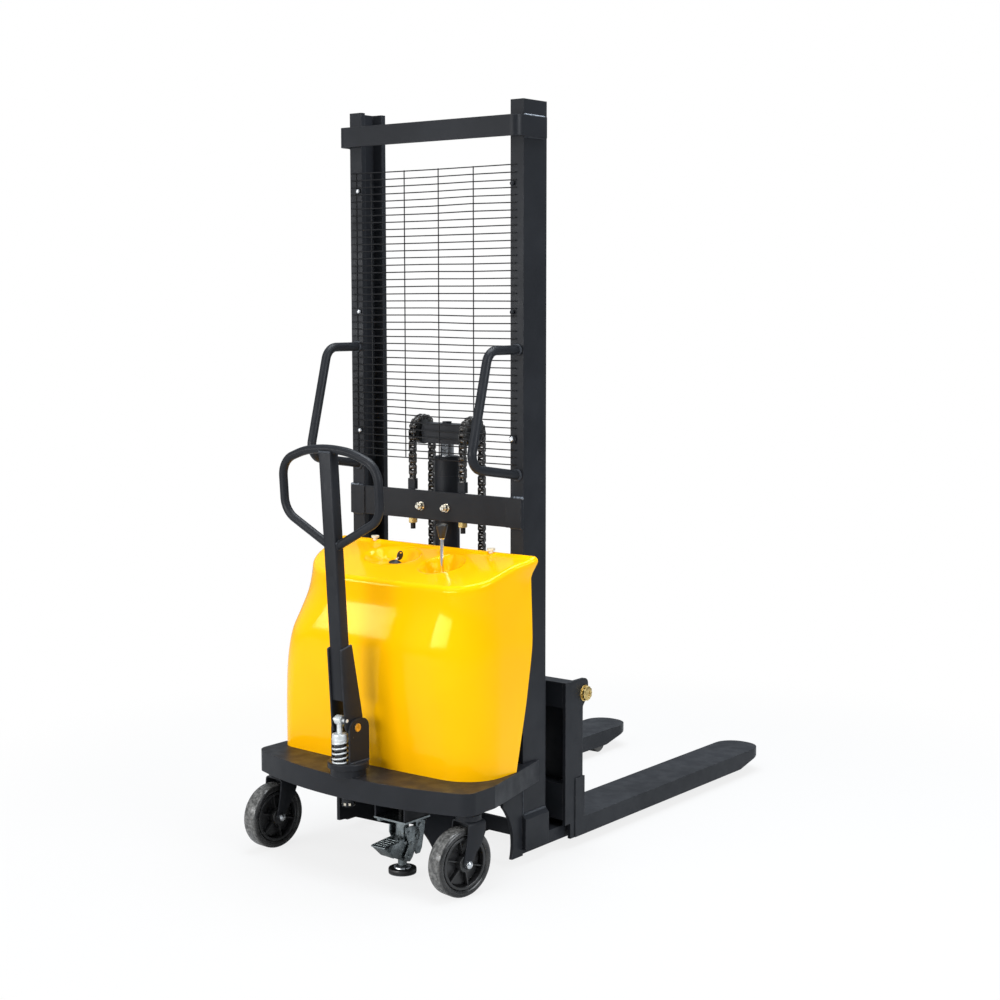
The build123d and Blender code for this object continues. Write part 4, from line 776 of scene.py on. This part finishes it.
for name, (finish, body, slot, rows) in BEADS.items():
    beads = [bead(at(s * a[0], *a[1:]), at(s * b[0], *b[1:]), thick)
             for s in (1, -1) for a, b, thick in rows]
    fitted(beads, name, finish, body, smooth=180)

# %% [markdown]
# Two more beads close the tops of the tiller's side plates against its tube. The tiller leans back
# by just under four degrees about its pin, so their places are given along it and turned with it.

# %% Tiller beads
LEAN = 3.8
PIN_Y, PIN_Z = -360, 407.5


def on_tiller(x, y, z):
    """A place measured from the tiller's pin along the leaning tube."""
    c, s = cos(radians(LEAN)), sin(radians(LEAN))
    return at(x, PIN_Y + y * c - z * s, PIN_Z + y * s + z * c)


beads = [bead(on_tiller(s * 23, -34, 214), on_tiller(s * 23, 4, 220), 0.003) for s in (1, -1)]
fitted(beads, "tiller_beads", sheen_bead_paint, "tiller", smooth=180)

# %% [markdown]
# ## Nuts and knobs
# The CAD nuts are plain prisms. A real nut has a chamfer and a bore, which catch the light, so a
# finer one goes over the nuts of the fork shaft and of the chain rods under the crossbar. The face
# is inset, pushed out to make the chamfer, inset again and pushed in for the bore.

# %% Chamfered nuts
SHAFT_X, SHAFT_Y, SHAFT_Z = 333, 254, 432


def nut(across, height, bore, deep):
    """A nut standing on z = 0 with a chamfered top and a bore of some depth."""
    piece = fresh(bpy.ops.mesh.primitive_cylinder_add, vertices=24, radius=across / sqrt(3),
                  depth=height)
    moved(piece, UP * height / 2)
    for turn in range(30, 390, 60):
        way = Vector((cos(radians(turn)), sin(radians(turn)), 0))
        mark(piece)
        bpy.ops.mesh.bisect(
            plane_co=way * across / 2, plane_no=way, clear_outer=True, use_fill=True)
        done(piece)
    mark(piece, is_top)
    bpy.ops.mesh.inset(thickness=0.07 * across)
    bpy.ops.transform.translate(value=(0, 0, 0.1 * height))
    bpy.ops.mesh.inset(thickness=0.43 * across - bore)
    draw_out(-deep)
    return done(piece)


shaft_nut = nut(0.0362, 0.0095, 0.0085, 0.003)
nuts = [copy_at(shaft_nut, at(s * SHAFT_X, SHAFT_Y, SHAFT_Z), about("Y", s * 90)) for s in (1, -1)]
fitted(nuts, "shaft_nuts", yellow_zinc, "carriage", smooth=25)

rod_nut = nut(0.0222, 0.0135, 0.0062, 0.001)
nuts = [copy_at(rod_nut, at(s * CHAIN_X, 11.5, 919.5), about("X", 180)) for s in (1, -1)]
fitted(nuts, "rod_nuts", yellow_zinc, "frame", smooth=25)
scrap(shaft_nut, rod_nut)

# %% [markdown]
# The lift lever is a chromed rod with a black knob that widens upward: a cone with a rounded
# crown. The pad of the floor lock is a short rubber cylinder whose top is inset and pushed down,
# to take a plated dome.

# %% Lever knob and floor pad
LEVER_X, LEVER_Y = 112, -104
LOCK_X, PLUNGER_Y = 119, -281

knob = fresh(bpy.ops.mesh.primitive_cone_add, vertices=28, radius1=0.0078, radius2=0.0176,
             depth=0.041)
moved(bevelled(knob, 0.005, 4, 50), at(LEVER_X, LEVER_Y, 907.2))
fitted([knob], "lever_knob", black_plastic, "lever")

pad = fresh(bpy.ops.mesh.primitive_cylinder_add, vertices=36, radius=0.0376, depth=0.0142)
bevelled(pad, 0.003, 2, 50)
bored(pad, lambda f: is_top(f) and f.center.length < 0.02, 0.012, -0.0012)
moved(pad, at(LOCK_X, PLUNGER_Y, 19.3))
fitted([pad], "floor_pad", black_plastic, "floor_plunger")

# %% [markdown]
# ## Cover
# The cover is one soft moulding: walls that belly out, lean in towards the top and turn over a
# rounded crease into a sloping lid with two hand scoops and a raised front edge. Its right upper
# corner flares to a tip. A moulding is easier to trust when it is drawn from sections: the rows
# below give the walls at eight heights, and a curve runs smoothly through them.

# %% Sections of the cover
COVER_FOOT = 272
COVER_ROWS = (
    # height, right half, left half, rear, right corner, left corner
    (COVER_FOOT, 343, 365, -258, 108, 45),
    (420, 348, 368, -269, 120, 72),
    (530, 346, 367, -278, 135, 100),
    (610, 344, 363, -279, 140, 130),
    (665, 341, 358, -270, 130, 165),
    (720, 339, 354, -259, 115, 195),
    (780, 337, 351, -255, 100, 212),
    (860, 336, 347, -252, 96, 212),
)
# height and place of the front edge
FRONT_ROWS = ((COVER_FOOT, -76), (390, -54), (492, -31), (600, -9), (660, -4), (860, -4))
LID_FRONT, LID_SLOPE, LID_EDGE, CREASE = 848, 0.252, -4, 15
REAR_BOW = 12
SIDE_STEPS, CORNER_STEPS, REAR_STEPS = 14, 20, 34
# middle x and y, half width, half depth and floor of each scoop
SCOOPS = ((-75, -95, 88, 60, 804), (118, -112, 60, 64, 789))


def eased(rows, z):
    """The row at a height, on a smooth curve through all the rows."""
    k = max(i for i in range(len(rows) - 1) if i == 0 or z >= rows[i][0])
    a, b, c, d = rows[max(k - 1, 0)], rows[k], rows[k + 1], rows[min(k + 2, len(rows) - 1)]
    step = c[0] - b[0]
    t = (z - b[0]) / step
    values = []
    for i in range(1, len(b)):
        start, end = (c[i] - a[i]) / (c[0] - a[0]), (d[i] - b[i]) / (d[0] - b[0])
        bend = step * t * (1 - t) * ((1 - t) * start - t * end)
        values.append(b[i] + (c[i] - b[i]) * t * t * (3 - 2 * t) + bend)
    return values


def soft(value, start, end):
    """0 before start, 1 after end and a soft step between."""
    t = min(1, max(0, (value - start) / (end - start)))
    return t * t * (3 - 2 * t)


def half_plan(half, rear, corner, front):
    """Half of the plan from the front edge round the corner to the middle of the rear."""
    foot = half - corner
    low = rear + REAR_BOW * (foot / half) ** 2
    side = [(half, front + (low + corner - front) * i / SIDE_STEPS) for i in range(SIDE_STEPS)]
    slope = 2 * REAR_BOW * foot / half ** 2
    xs = (half, half, foot + 0.55 * corner, foot)
    ys = (low + corner, low + 0.45 * corner, low + 0.55 * corner * slope, low)
    turn = []
    for i in range(CORNER_STEPS):
        t = i / CORNER_STEPS
        b = ((1 - t) ** 3, 3 * t * (1 - t) ** 2, 3 * t * t * (1 - t), t ** 3)
        turn.append((sum(p * q for p, q in zip(b, xs)), sum(p * q for p, q in zip(b, ys))))
    across = [foot * (1 - i / REAR_STEPS) for i in range(REAR_STEPS)]
    return side + turn + [(x, rear + REAR_BOW * (x / half) ** 2) for x in across]


def plan(z):
    """The whole plan at a height, from the right front edge round to the left one."""
    right, left, rear, near, far = eased(COVER_ROWS, z)
    front = eased(FRONT_ROWS, z)[0]
    other = [(-x, y) for x, y in half_plan(left, rear, far, front)]
    return half_plan(right, rear, near, front) + [(0, rear)] + other[::-1]


def slope_of_lid(y):
    """Height of the bare slope of the lid."""
    return LID_FRONT + LID_SLOPE * (y - LID_EDGE)


def lid(x, y):
    """Height of the lid: a slope with two scoops and a raised front edge."""
    z = slope_of_lid(y)
    for cx, cy, wide, deep, low in SCOOPS:
        reach = hypot((x - cx) / wide, (y - cy) / deep)
        z += (min(z, low) - z) * soft(reach, 1.05, 0.78)
    return z + 5 * exp(-((y + 13) / 9) ** 2)


columns = len(plan(400))
print("columns round the cover", columns, "lid at the key", round(lid(-75, -95)))

# %% [markdown]
# A flat grid becomes the moulding: its columns go round the plan, and its rows climb the wall,
# roll over the crease and cross the lid to the front edge. The tip is pulled out, a solidify gives
# the skin its thickness, and a slot for the lift lever is cut last.

# %% Cover
WALL_ROWS, CREASE_ROWS, LID_ROWS = 40, 8, 44
TIP = 25
SKIN = 0.004


def wall(j):
    """The places up the wall in one column, to where the crease begins under the lid."""
    top = 800
    for _ in range(4):
        top = slope_of_lid(plan(top)[j][1]) - CREASE
    heights = [COVER_FOOT + (top - COVER_FOOT) * i / WALL_ROWS for i in range(WALL_ROWS + 1)]
    return [plan(z)[j] + (z,) for z in heights]


levels = [wall(j) for j in range(columns)]
rim = [Vector(level[-1]) for level in levels]
length = [0.0]
for a, b in zip(rim, rim[1:]):
    length.append(length[-1] + (b - a).length)


def corner_of_cover(j, i):
    """The place of one grid corner: column j round the plan, row i from the foot."""
    if i <= WALL_ROWS:
        return levels[j][i]
    if j in (0, columns - 1):
        inward = Vector((-1 if j == 0 else 1, 0, 0))
    else:
        along = rim[j + 1] - rim[j - 1]
        inward = Vector((along.y, -along.x, 0)).normalized()
    turn = radians(90) * min(1, (i - WALL_ROWS) / CREASE_ROWS)
    x, y = (rim[j] + inward * CREASE * (1 - cos(turn))).xy
    if i <= WALL_ROWS + CREASE_ROWS:
        inner = rim[j] + inward * CREASE
        return x, y, rim[j].z + (lid(inner.x, inner.y) - rim[j].z) * sin(turn)
    t = (i - WALL_ROWS - CREASE_ROWS) / LID_ROWS
    goal = rim[0].x - CREASE + (rim[-1].x - rim[0].x + 2 * CREASE) * length[j] / length[-1]
    x, y = x + (goal - x) * t, y + (LID_EDGE - y) * t
    return x, y, lid(x, y)


rows = WALL_ROWS + CREASE_ROWS + LID_ROWS
cover = fresh(bpy.ops.mesh.primitive_grid_add, x_subdivisions=columns - 1, y_subdivisions=rows,
              size=1)
for spot in cover.data.vertices:
    j, i = round((spot.co.x + 0.5) * (columns - 1)), round((spot.co.y + 0.5) * rows)
    x, y, z = corner_of_cover(j, i)
    x += TIP * soft(z, 788, 844) * soft(y, -85, -8) * soft(x, 225, 335)
    spot.co = at(x, y, z)
mark(cover)
bpy.ops.mesh.remove_doubles(threshold=0.0002)
facing_out(done(cover))
worked(cover, "SOLIDIFY", thickness=SKIN, offset=-1)
cut_out(cover, moved(block(0.014, 0.030, 0.06), at(LEVER_X, LEVER_Y, 790)))
fitted([cover], "moulded_cover", yellow_cover, "frame", ["cover"], 50)

# %% [markdown]
# ## Tiller foot
# Under the tiller stands a small return spring: a black sleeve, bright coils over it, a plated cap
# of two stacked flanges, and a rod with an eye that presses on the tiller. The sleeve is bored out
# so that the piston can slide down into it, and a dust tube on the cap slides down over it. The
# cap is a disc whose top is inset and raised twice, as a turner would step it down.

# %% Spring sleeve, cap and eye
EYE_Z = 429

sleeve = bored(rod(0.0138, 0.031, 28), is_top, 0.003, -0.0295)
moved(sleeve, at(0, SPRING_Y, 329.5))
ear_plug = moved(rod(0.0022, 0.0016, 12, "X"), at(33.6, -376, 383))
fitted([sleeve, ear_plug], "spring_sleeve", black_plastic, "steering_head")

dust_tube = fresh(bpy.ops.mesh.primitive_cylinder_add, vertices=28, radius=0.0164,
                  depth=0.0285, end_fill_type="NOTHING")
worked(dust_tube, "SOLIDIFY", thickness=0.0018, offset=-1)
moved(dust_tube, at(0, SPRING_Y, 360))
fitted([dust_tube], "spring_dust_tube", black_plastic, "piston")

cap = rod(0.0222, 0.009, 40)
mark(cap, is_top)
bpy.ops.mesh.inset(thickness=0.0045)
draw_out(0.004)
draw_out(0.001)
bpy.ops.transform.resize(value=(1.16, 1.16, 1))
draw_out(0.006)
bpy.ops.mesh.inset(thickness=0.003)
bpy.ops.transform.translate(value=(0, 0, 0.0015))
moved(done(cap), at(0, SPRING_Y, 377.8))
eye = rod(0.0131, 0.0225, 32, "X")
mark(eye, lambda f: abs(f.normal.x) > 0.9)
bpy.ops.mesh.inset(thickness=0.0035, use_individual=True)
draw_out(0)
bpy.ops.transform.resize(value=(0.9, 1, 1))
moved(done(eye), at(0, SPRING_Y, EYE_Z))
neck = moved(rod(0.0080, 0.030, 24), at(0, SPRING_Y, 406))
pin_end = moved(rod(0.005, 0.0024, 16, "X"), at(26.2, SPRING_Y, EYE_Z))
fitted([cap, eye, neck, pin_end], "spring_cap", pale_zinc, "piston", smooth=35)

# %% [markdown]
# The steering pin comes out under the tray, where a plated nut holds it: a six-sided rod with a
# collar drawn out of its lower face.

# %% Pivot nut
pivot_low = 1000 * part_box("turntable")[0].z
pivot_nut = bored(rod(0.0190, 0.0118, 6), lambda f: f.normal.z < -0.9, 0.0035, -0.0028)
moved(pivot_nut, at(0, PIN_Y, pivot_low + 8.8))
fitted([pivot_nut], "pivot_nut", warm_zinc, "steering_head")

# %% [markdown]
# ## Casters
# The casters are cast polyurethane on a webbed plastic hub in a pressed steel yoke. The wheel is
# modelled about its axle and the yoke about the swivel axis, with the wheel trailing behind it,
# and both are set down twice, turned a little as the machine was left. The tyre is a rounded
# section spun round the axle; a plain cylinder would lose the soft shoulders that catch the light.

# %% Wheel pieces
WHEEL_R = 0.090
DUST_AND_SHEEN_FROM, DUST_AND_SHEEN_RANGE = 0.0862, 0.0036


def spun_ring(inner, outer, wide, round_off, steps=64):
    """A rounded section between two radii, spun round the x axis."""
    section = fresh(bpy.ops.mesh.primitive_plane_add, size=1)
    for spot in section.data.vertices:
        spot.co = (spot.co.x * wide, 0, (inner + outer) / 2 + spot.co.y * (outer - inner))
    mark(section, kind="VERT")
    bpy.ops.mesh.bevel(offset=round_off, segments=5, affect="VERTICES")
    bpy.ops.mesh.delete(type="ONLY_FACE")
    bpy.ops.mesh.select_all(action="SELECT")
    bpy.ops.mesh.spin(steps=steps, angle=radians(360), center=(0, 0, 0), axis=(1, 0, 0))
    bpy.ops.mesh.select_all(action="SELECT")
    bpy.ops.mesh.remove_doubles(threshold=0.0001)
    return facing_out(done(section))


tyre = spun_ring(0.0695, WHEEL_R, 0.050, 0.0098)
# The tread is marked for a lighter colour, partly dust and partly a painted sheen.
dust = tyre.data.attributes.new("dust", "FLOAT", "POINT")
for spot in tyre.data.vertices:
    reach = (hypot(spot.co.y, spot.co.z) - DUST_AND_SHEEN_FROM) / DUST_AND_SHEEN_RANGE
    dust.data[spot.index].value = min(1, max(0, reach))
webs = []
for turn in range(12, 372, 60):
    web = moved(block(0.038, 0.0042, 0.046), (0, 0, 0.040))
    moved(web, (0, 0, 0), about("X", turn))
    webs.append(bevelled(web, 0.001, 2, 30))
rounds = [
    spun_ring(0.0615, 0.0705, 0.046, 0.003), rod(0.063, 0.010, 48, "X"),
    spun_ring(0.009, 0.022, 0.056, 0.0025, 40), rod(0.0155, 0.0572, 32, "X")]
hub = welded(rounds + webs, "hub_casting")
print("tyre", len(tyre.data.polygons), "hub", len(hub.data.polygons))

# %% [markdown]
# The yoke is one strip of plate bent twice. A box loses its bottom, front and rear; the two bends
# are bevelled round, the arms are drawn in towards the axle and leaned back, and a solidify makes
# the plate. Round eyes close the arms, and a bright bolt goes through them.

# %% Yoke and axle bolt
SWIVEL_X, SWIVEL_Y = 340, -274
AXLE = Vector((0, -0.030, WHEEL_R))
YOKE_Y = 0.0015
# height, middle and width of an arm
ARM_ROWS = ((0.165, 0, 0.059), (0.135, -0.009, 0.051), (0.110, -0.023, 0.034),
            (0.090, -0.030, 0.026))

yoke = moved(block(0.068, 0.058, 0.107), (0, YOKE_Y, 0.1435))
mark(yoke, lambda f: abs(f.normal.y) > 0.9 or f.normal.z < -0.9)
bpy.ops.mesh.delete(type="FACE")
done(yoke)
mark(yoke, lambda v: v.co.z > 0.19, "VERT")
bpy.ops.mesh.bevel(offset=0.011, segments=5, affect="EDGES")
sliced(done(yoke), UP, [row[0] for row in ARM_ROWS[:3]])
for height, middle, wide in ARM_ROWS:
    for spot in yoke.data.vertices:
        if abs(spot.co.z - height) < 0.001:
            spot.co.y = middle + (0.5 if spot.co.y > YOKE_Y else -0.5) * wide
facing_out(yoke)
worked(yoke, "SOLIDIFY", thickness=0.005, offset=-1)
bevelled(yoke, 0.0012, 2, 50)
eyes = [moved(rod(0.0132, 0.0052, 28, "X"), AXLE + Vector((x, 0, 0))) for x in (0.0315, -0.0315)]
yoke = welded([yoke] + eyes, "yoke_plate")

heads = []
for s in (1, -1):
    head = rod(0.0098, 0.010, 28, "X")
    stepped(head, lambda f: s * f.normal.x > 0.9,
            (0.002, (s * 0.0018, 0, 0)), (0.003, (s * 0.001, 0, 0)))
    heads.append(moved(head, AXLE + Vector((s * 0.0375, 0, 0))))
bolt = welded(heads, "axle_bolt")

for name, x, turn in (("right", SWIVEL_X, -10), ("left", -SWIVEL_X, -4)):
    stand = about("Z", turn)
    swivel = at(x, SWIVEL_Y, 0)
    axle = swivel + stand @ AXLE
    wheel, fork = "caster_wheel_" + name, "caster_swivel_" + name
    for source, label, place, body, finish, slot, node in (
        (tyre, "tyre_", axle, wheel, tyre_urethane, "tyre", "caster_tyre_"),
        (hub, "hub_", axle, wheel, hub_plastic, "hub_plastic", "caster_hub_"),
        (yoke, "yoke_", swivel, fork, black_paint, "black_paint", "caster_yoke_"),
        (bolt, "axle_bolt_", swivel, fork, zinc, "zinc", None),
    ):
        piece = copy_at(source, place, stand)
        fitted([piece], label + name, finish, body, [node + name] if node else [])
scrap(tyre, hub, yoke, bolt)

# %% [markdown]
# ## Floor lock pedal
# The pedal of the floor lock is pressed from one sheet: a small tread with grip ridges, and two
# side plates that run down beside the plunger and up to the pivot pin. A plate of any outline
# comes from a disc with as many corners, each pulled to its place; a solidify and a bevel then
# make it sheet metal. Rivet heads mark the joints of the linkage.

# %% Pedal
PEDAL_SIDE = (
    (-377, 103), (-342, 71), (-294, 48), (-284, 50), (-279, 62), (-262, 108), (-237, 132),
    (-234, 141), (-240, 148), (-251, 148), (-276, 122), (-300, 112), (-318, 111), (-376, 107))
PEDAL_TREAD = ((-379, 102), (-318, 107), (-318, 111), (-379, 106))
PEDAL_SKIRT = ((-379, 106), (-376, 106), (-339, 70), (-342, 70))
LOCK_LINK = (
    (-300, 143), (-272, 143), (-250, 134), (-244, 120), (-247, 102), (-275, 57), (-285, 48),
    (-300, 52), (-305, 66), (-287, 94), (-300, 122))


def cut_plate(outline, thick):
    """A plate across x with an outline of (y, z) places in millimetres, centred on x = 0."""
    sheet = fresh(bpy.ops.mesh.primitive_circle_add, vertices=len(outline), radius=1,
                  fill_type="NGON")
    for spot, (y, z) in zip(sheet.data.vertices, outline):
        spot.co = (0, y / 1000, z / 1000)
    worked(sheet, "SOLIDIFY", thickness=thick, offset=0)
    return bevelled(facing_out(sheet), 0.0008, 2, 20)


def lock_plate(outline, thick, x=0):
    """A plate of the lock, at a distance from its middle."""
    return moved(cut_plate(outline, thick), at(LOCK_X + x, 0, 0))


def rivet(radius, x, y, z):
    """A rivet head on a side of the lock."""
    return moved(rod(radius, 0.004, 16, "X"), at(LOCK_X + x, y, z))


pedal = [lock_plate(PEDAL_SIDE, 0.004, x) for x in (-21.5, 21.5)]
pedal += [lock_plate(PEDAL_TREAD, 0.047), lock_plate(PEDAL_SKIRT, 0.043)]
for y in range(-370, -315, 11):
    ridge = rod(0.0010, 0.040, 8, "X")
    pedal.append(moved(ridge, at(LOCK_X, y, 107.2 + (y + 379) * 0.08)))
for y, z in ((-244, 140), (-287, 57), (-296, 100)):
    pedal += [rivet(0.0052, x, y, z) for x in (-24, 24)]
fitted(pedal, "pressed_pedal", dull_zinc, "floor_pedal", ["lock_pedal"], 35)

links = []
for x in (-29, 29):
    links.append(lock_plate(LOCK_LINK, 0.003, x))
    for y, z in ((-290, 127), (-259, 112), (-279, 97), (-291, 63)):
        links.append(rivet(0.0046, 1.09 * x, y, z))
fitted(links, "lock_links", dull_zinc, "frame", smooth=35)

# %% [markdown]
# The plated dome on the pad takes the plunger: a ball cut through its middle and pressed flat.

# %% Pad dome
dome = moved(half_ball(0.023, 32, 1, 1, 0.42), at(LOCK_X, PLUNGER_Y, 26))
fitted([dome], "pad_dome", zinc, "floor_plunger")

# %% [markdown]
# ## Key switch
# The switch in the left scoop is a low oval dome, and its key has a flat oval bow that stands off
# to one side. The bow is cut from plate like the pedal, with a hole for a ring, and joins the dome
# by a short bright pin.

# %% Switch dome and key
KEY_X, KEY_Y, KEY_Z = -68, -92, 809
BOW_Y, BOW_Z, BOW_WIDE, BOW_TALL, BOW_LEAN = 14, 16, 8.5, 13.5, 0.25
BOW_STEPS = 28

switch = moved(half_ball(0.020, 36, 1, 0.74, 0.5), at(KEY_X, KEY_Y, 803))
fitted([switch], "switch_dome", black_plastic, "frame", ["key_switch"])

toward = about("Z", -52)
oval = []
for step in range(BOW_STEPS):
    a = radians(360 / BOW_STEPS * step)
    y, z = BOW_WIDE * cos(a), BOW_TALL * sin(a)
    c, s = cos(BOW_LEAN), sin(BOW_LEAN)
    oval.append((BOW_Y + y * c + z * s, BOW_Z - y * s + z * c))
bow = cut_plate(oval, 0.0042)
cut_out(bow, moved(rod(0.0024, 0.02, 14, "X"), (0, 0.0165, 0.0235)))
moved(bow, at(KEY_X, KEY_Y, KEY_Z), toward)
fitted([bow], "key_bow", black_plastic, "key", ["start_key"], 30)
pin = stepped(rod(0.0026, 0.020, 14), is_top, (0.0008, UP * 0.001))
foot = at(KEY_X, KEY_Y, KEY_Z) + toward @ Vector((0, 0.004, 0.004))
moved(pin, foot, toward @ about("X", -40))
fitted([pin], "key_pin", zinc, "key")

# %% [markdown]
# ## Bent tubes
# The grab handles and the loop of the tiller are tubes bent round a former, and bends are where a
# coarse solid shows its facets. Here each one is a curve: straight legs joined by arcs, given a
# round section and turned into a mesh. A plain ring closes each end against the post.

# %% Grab handles
HANDLE_X, HANDLE_ENDS = 286, (1395, 1062)
HANDLE_BEND = 0.042
BEND_STEPS = 12


def bent_tube(corners, radius, bends):
    """A round tube along straight legs with a bend at every corner between."""
    path = [corners[0]]
    for before, corner, after, bend in zip(corners, corners[1:], corners[2:], bends):
        into, out = (corner - before).normalized(), (after - corner).normalized()
        half = into.angle(out) / 2
        start = corner - into * bend * tan(half)
        centre = corner + (out - into).normalized() * bend / cos(half)
        for step in range(BEND_STEPS + 1):
            turn = Matrix.Rotation(2 * half * step / BEND_STEPS, 3, into.cross(out).normalized())
            path.append(centre + turn @ (start - centre))
    path.append(corners[-1])
    line = bpy.data.curves.new("tube_line", "CURVE")
    line.dimensions = "3D"
    line.bevel_depth = radius
    line.bevel_resolution = 6
    line.use_fill_caps = True
    spline = line.splines.new("POLY")
    spline.points.add(len(path) - 1)
    for point, place in zip(spline.points, path):
        point.co = (*place, 1)
    tube = bpy.data.objects.new("bent_tube", line)
    bpy.context.scene.collection.objects.link(tube)
    in_hand(tube)
    bpy.ops.object.convert(target="MESH")
    return bpy.context.active_object


for name, x in (("right", HANDLE_X), ("left", -HANDLE_X)):
    legs = [at(x, 1, 1395), at(x, -121, 1395), at(x, -200, 1093), at(x, 1, 1061.8)]
    parts = [bent_tube(legs, 0.0125, (HANDLE_BEND, HANDLE_BEND))]
    for z in HANDLE_ENDS:
        parts.append(moved(ring(0.0135, 0.0032, 24, 8), at(x, -1.5, z), about("X", 90)))
    fitted(parts, "grab_tube_" + name, black_paint, "frame",
           ["grab_handle_" + name])

# %% [markdown]
# ## Tiller
# The tiller is a square tube with its loop welded through it and two side plates at the foot. The
# tube starts as a box without its lower end, so the dark inside shows above the spring; its edges
# are rounded and a solidify gives the wall. Everything is made upright about the pin and leaned
# back together.

# %% Tiller
TUBE_Y = -0.015
CHEEK = ((-36, 213), (6, 221), (31, 24), (31, 0), (27, -9), (18, -16), (-18, -17), (-30, -9),
         (-36, 5))
# x, z and bend at the corners of the loop, whose two ends stay straight
LOOP_ENDS = (12, 485.3), (-12, 485.3)
LOOP = ((168, 567, 0.06), (168, 702, 0.06), (80, 735, 0.25), (0, 742, 0.4), (-80, 735, 0.25),
        (-168, 702, 0.06), (-168, 567, 0.06))

tube = moved(block(0.042, 0.032, 0.658), (0, TUBE_Y, 0.405))
mark(tube, lambda f: f.normal.z < -0.9)
bpy.ops.mesh.delete(type="FACE")
bevelled(done(tube), 0.0035, 3, 60)
worked(tube, "SOLIDIFY", thickness=0.004, offset=-1)
cheeks = [moved(cut_plate(CHEEK, 0.005), (x, 0, 0)) for x in (0.0235, -0.0235)]
flat = [LOOP_ENDS[0]] + [corner[:2] for corner in LOOP] + [LOOP_ENDS[1]]
corners = [Vector((x / 1000, TUBE_Y, z / 1000)) for x, z in flat]
loop = bent_tube(corners, 0.0115, [corner[2] for corner in LOOP])
tiller = welded([tube, loop] + cheeks, "tiller_tube")
moved(tiller, at(0, PIN_Y, PIN_Z), about("X", LEAN))
fitted([tiller], "tiller_tube", black_paint, "tiller", ["tiller_handle"], 35)
beads = [bead(on_tiller(-19, y, 733.5), on_tiller(19, y, 733.5), 0.003) for y in (-29, -1)]
beads += [bead(on_tiller(x, -27, 496), on_tiller(x, -3, 496), 0.003) for x in (21.5, -21.5)]
fitted(beads, "loop_beads", sheen_bead_paint, "tiller", smooth=180)

# %% [markdown]
# Each end of a handle is welded round to its post. The weld is a ring with a rough, thick section,
# laid over the plain one.

# %% Handle beads
beads = []
for x, z in [(x, z) for x in (HANDLE_X, -HANDLE_X) for z in HANDLE_ENDS]:
    rough = ring(0.0132, 0.0036, 22, 8)
    mark(rough, lambda v: v.index % 3 == 0, "VERT")
    bpy.ops.transform.resize(value=(1.06, 1.06, 1.2), center_override=(0, 0, 0))
    beads.append(moved(done(rough), at(x, -1.5, z), about("X", 90)))
fitted(beads, "handle_beads", sheen_bead_paint, "frame", smooth=60)

# %% [markdown]
# ## Mesh screws
# Six small screws hold the mesh to the posts. One is turned from a rod, its face inset and raised
# to a low dome, and set down at each place. On the right the two upper ones were painted over with
# the post, and the lowest is a larger hexagon bolt on a black washer.

# %% Mesh screws
SCREW_X, SCREW_HEIGHTS = 274, (1158, 1494, 1830)
lowest, *upper = SCREW_HEIGHTS
screw = rod(0.0058, 0.006, 20, "Y")
stepped(screw, lambda f: f.normal.y < -0.9, (0.0018, (0, -0.0012, 0)))
plated = [copy_at(screw, at(-SCREW_X, -6.2, z)) for z in SCREW_HEIGHTS]
plated.append(moved(rod(0.0072, 0.006, 6, "Y"), at(SCREW_X, -7.4, lowest)))
covered = [copy_at(screw, at(SCREW_X, -6.2, z)) for z in upper]
covered.append(moved(rod(0.0115, 0.004, 24, "Y"), at(SCREW_X, -3.2, lowest)))
fitted(plated, "mesh_screws", zinc, "frame", ["mesh_bolts"])
fitted(covered, "painted_screws", black_paint, "frame")
scrap(screw)
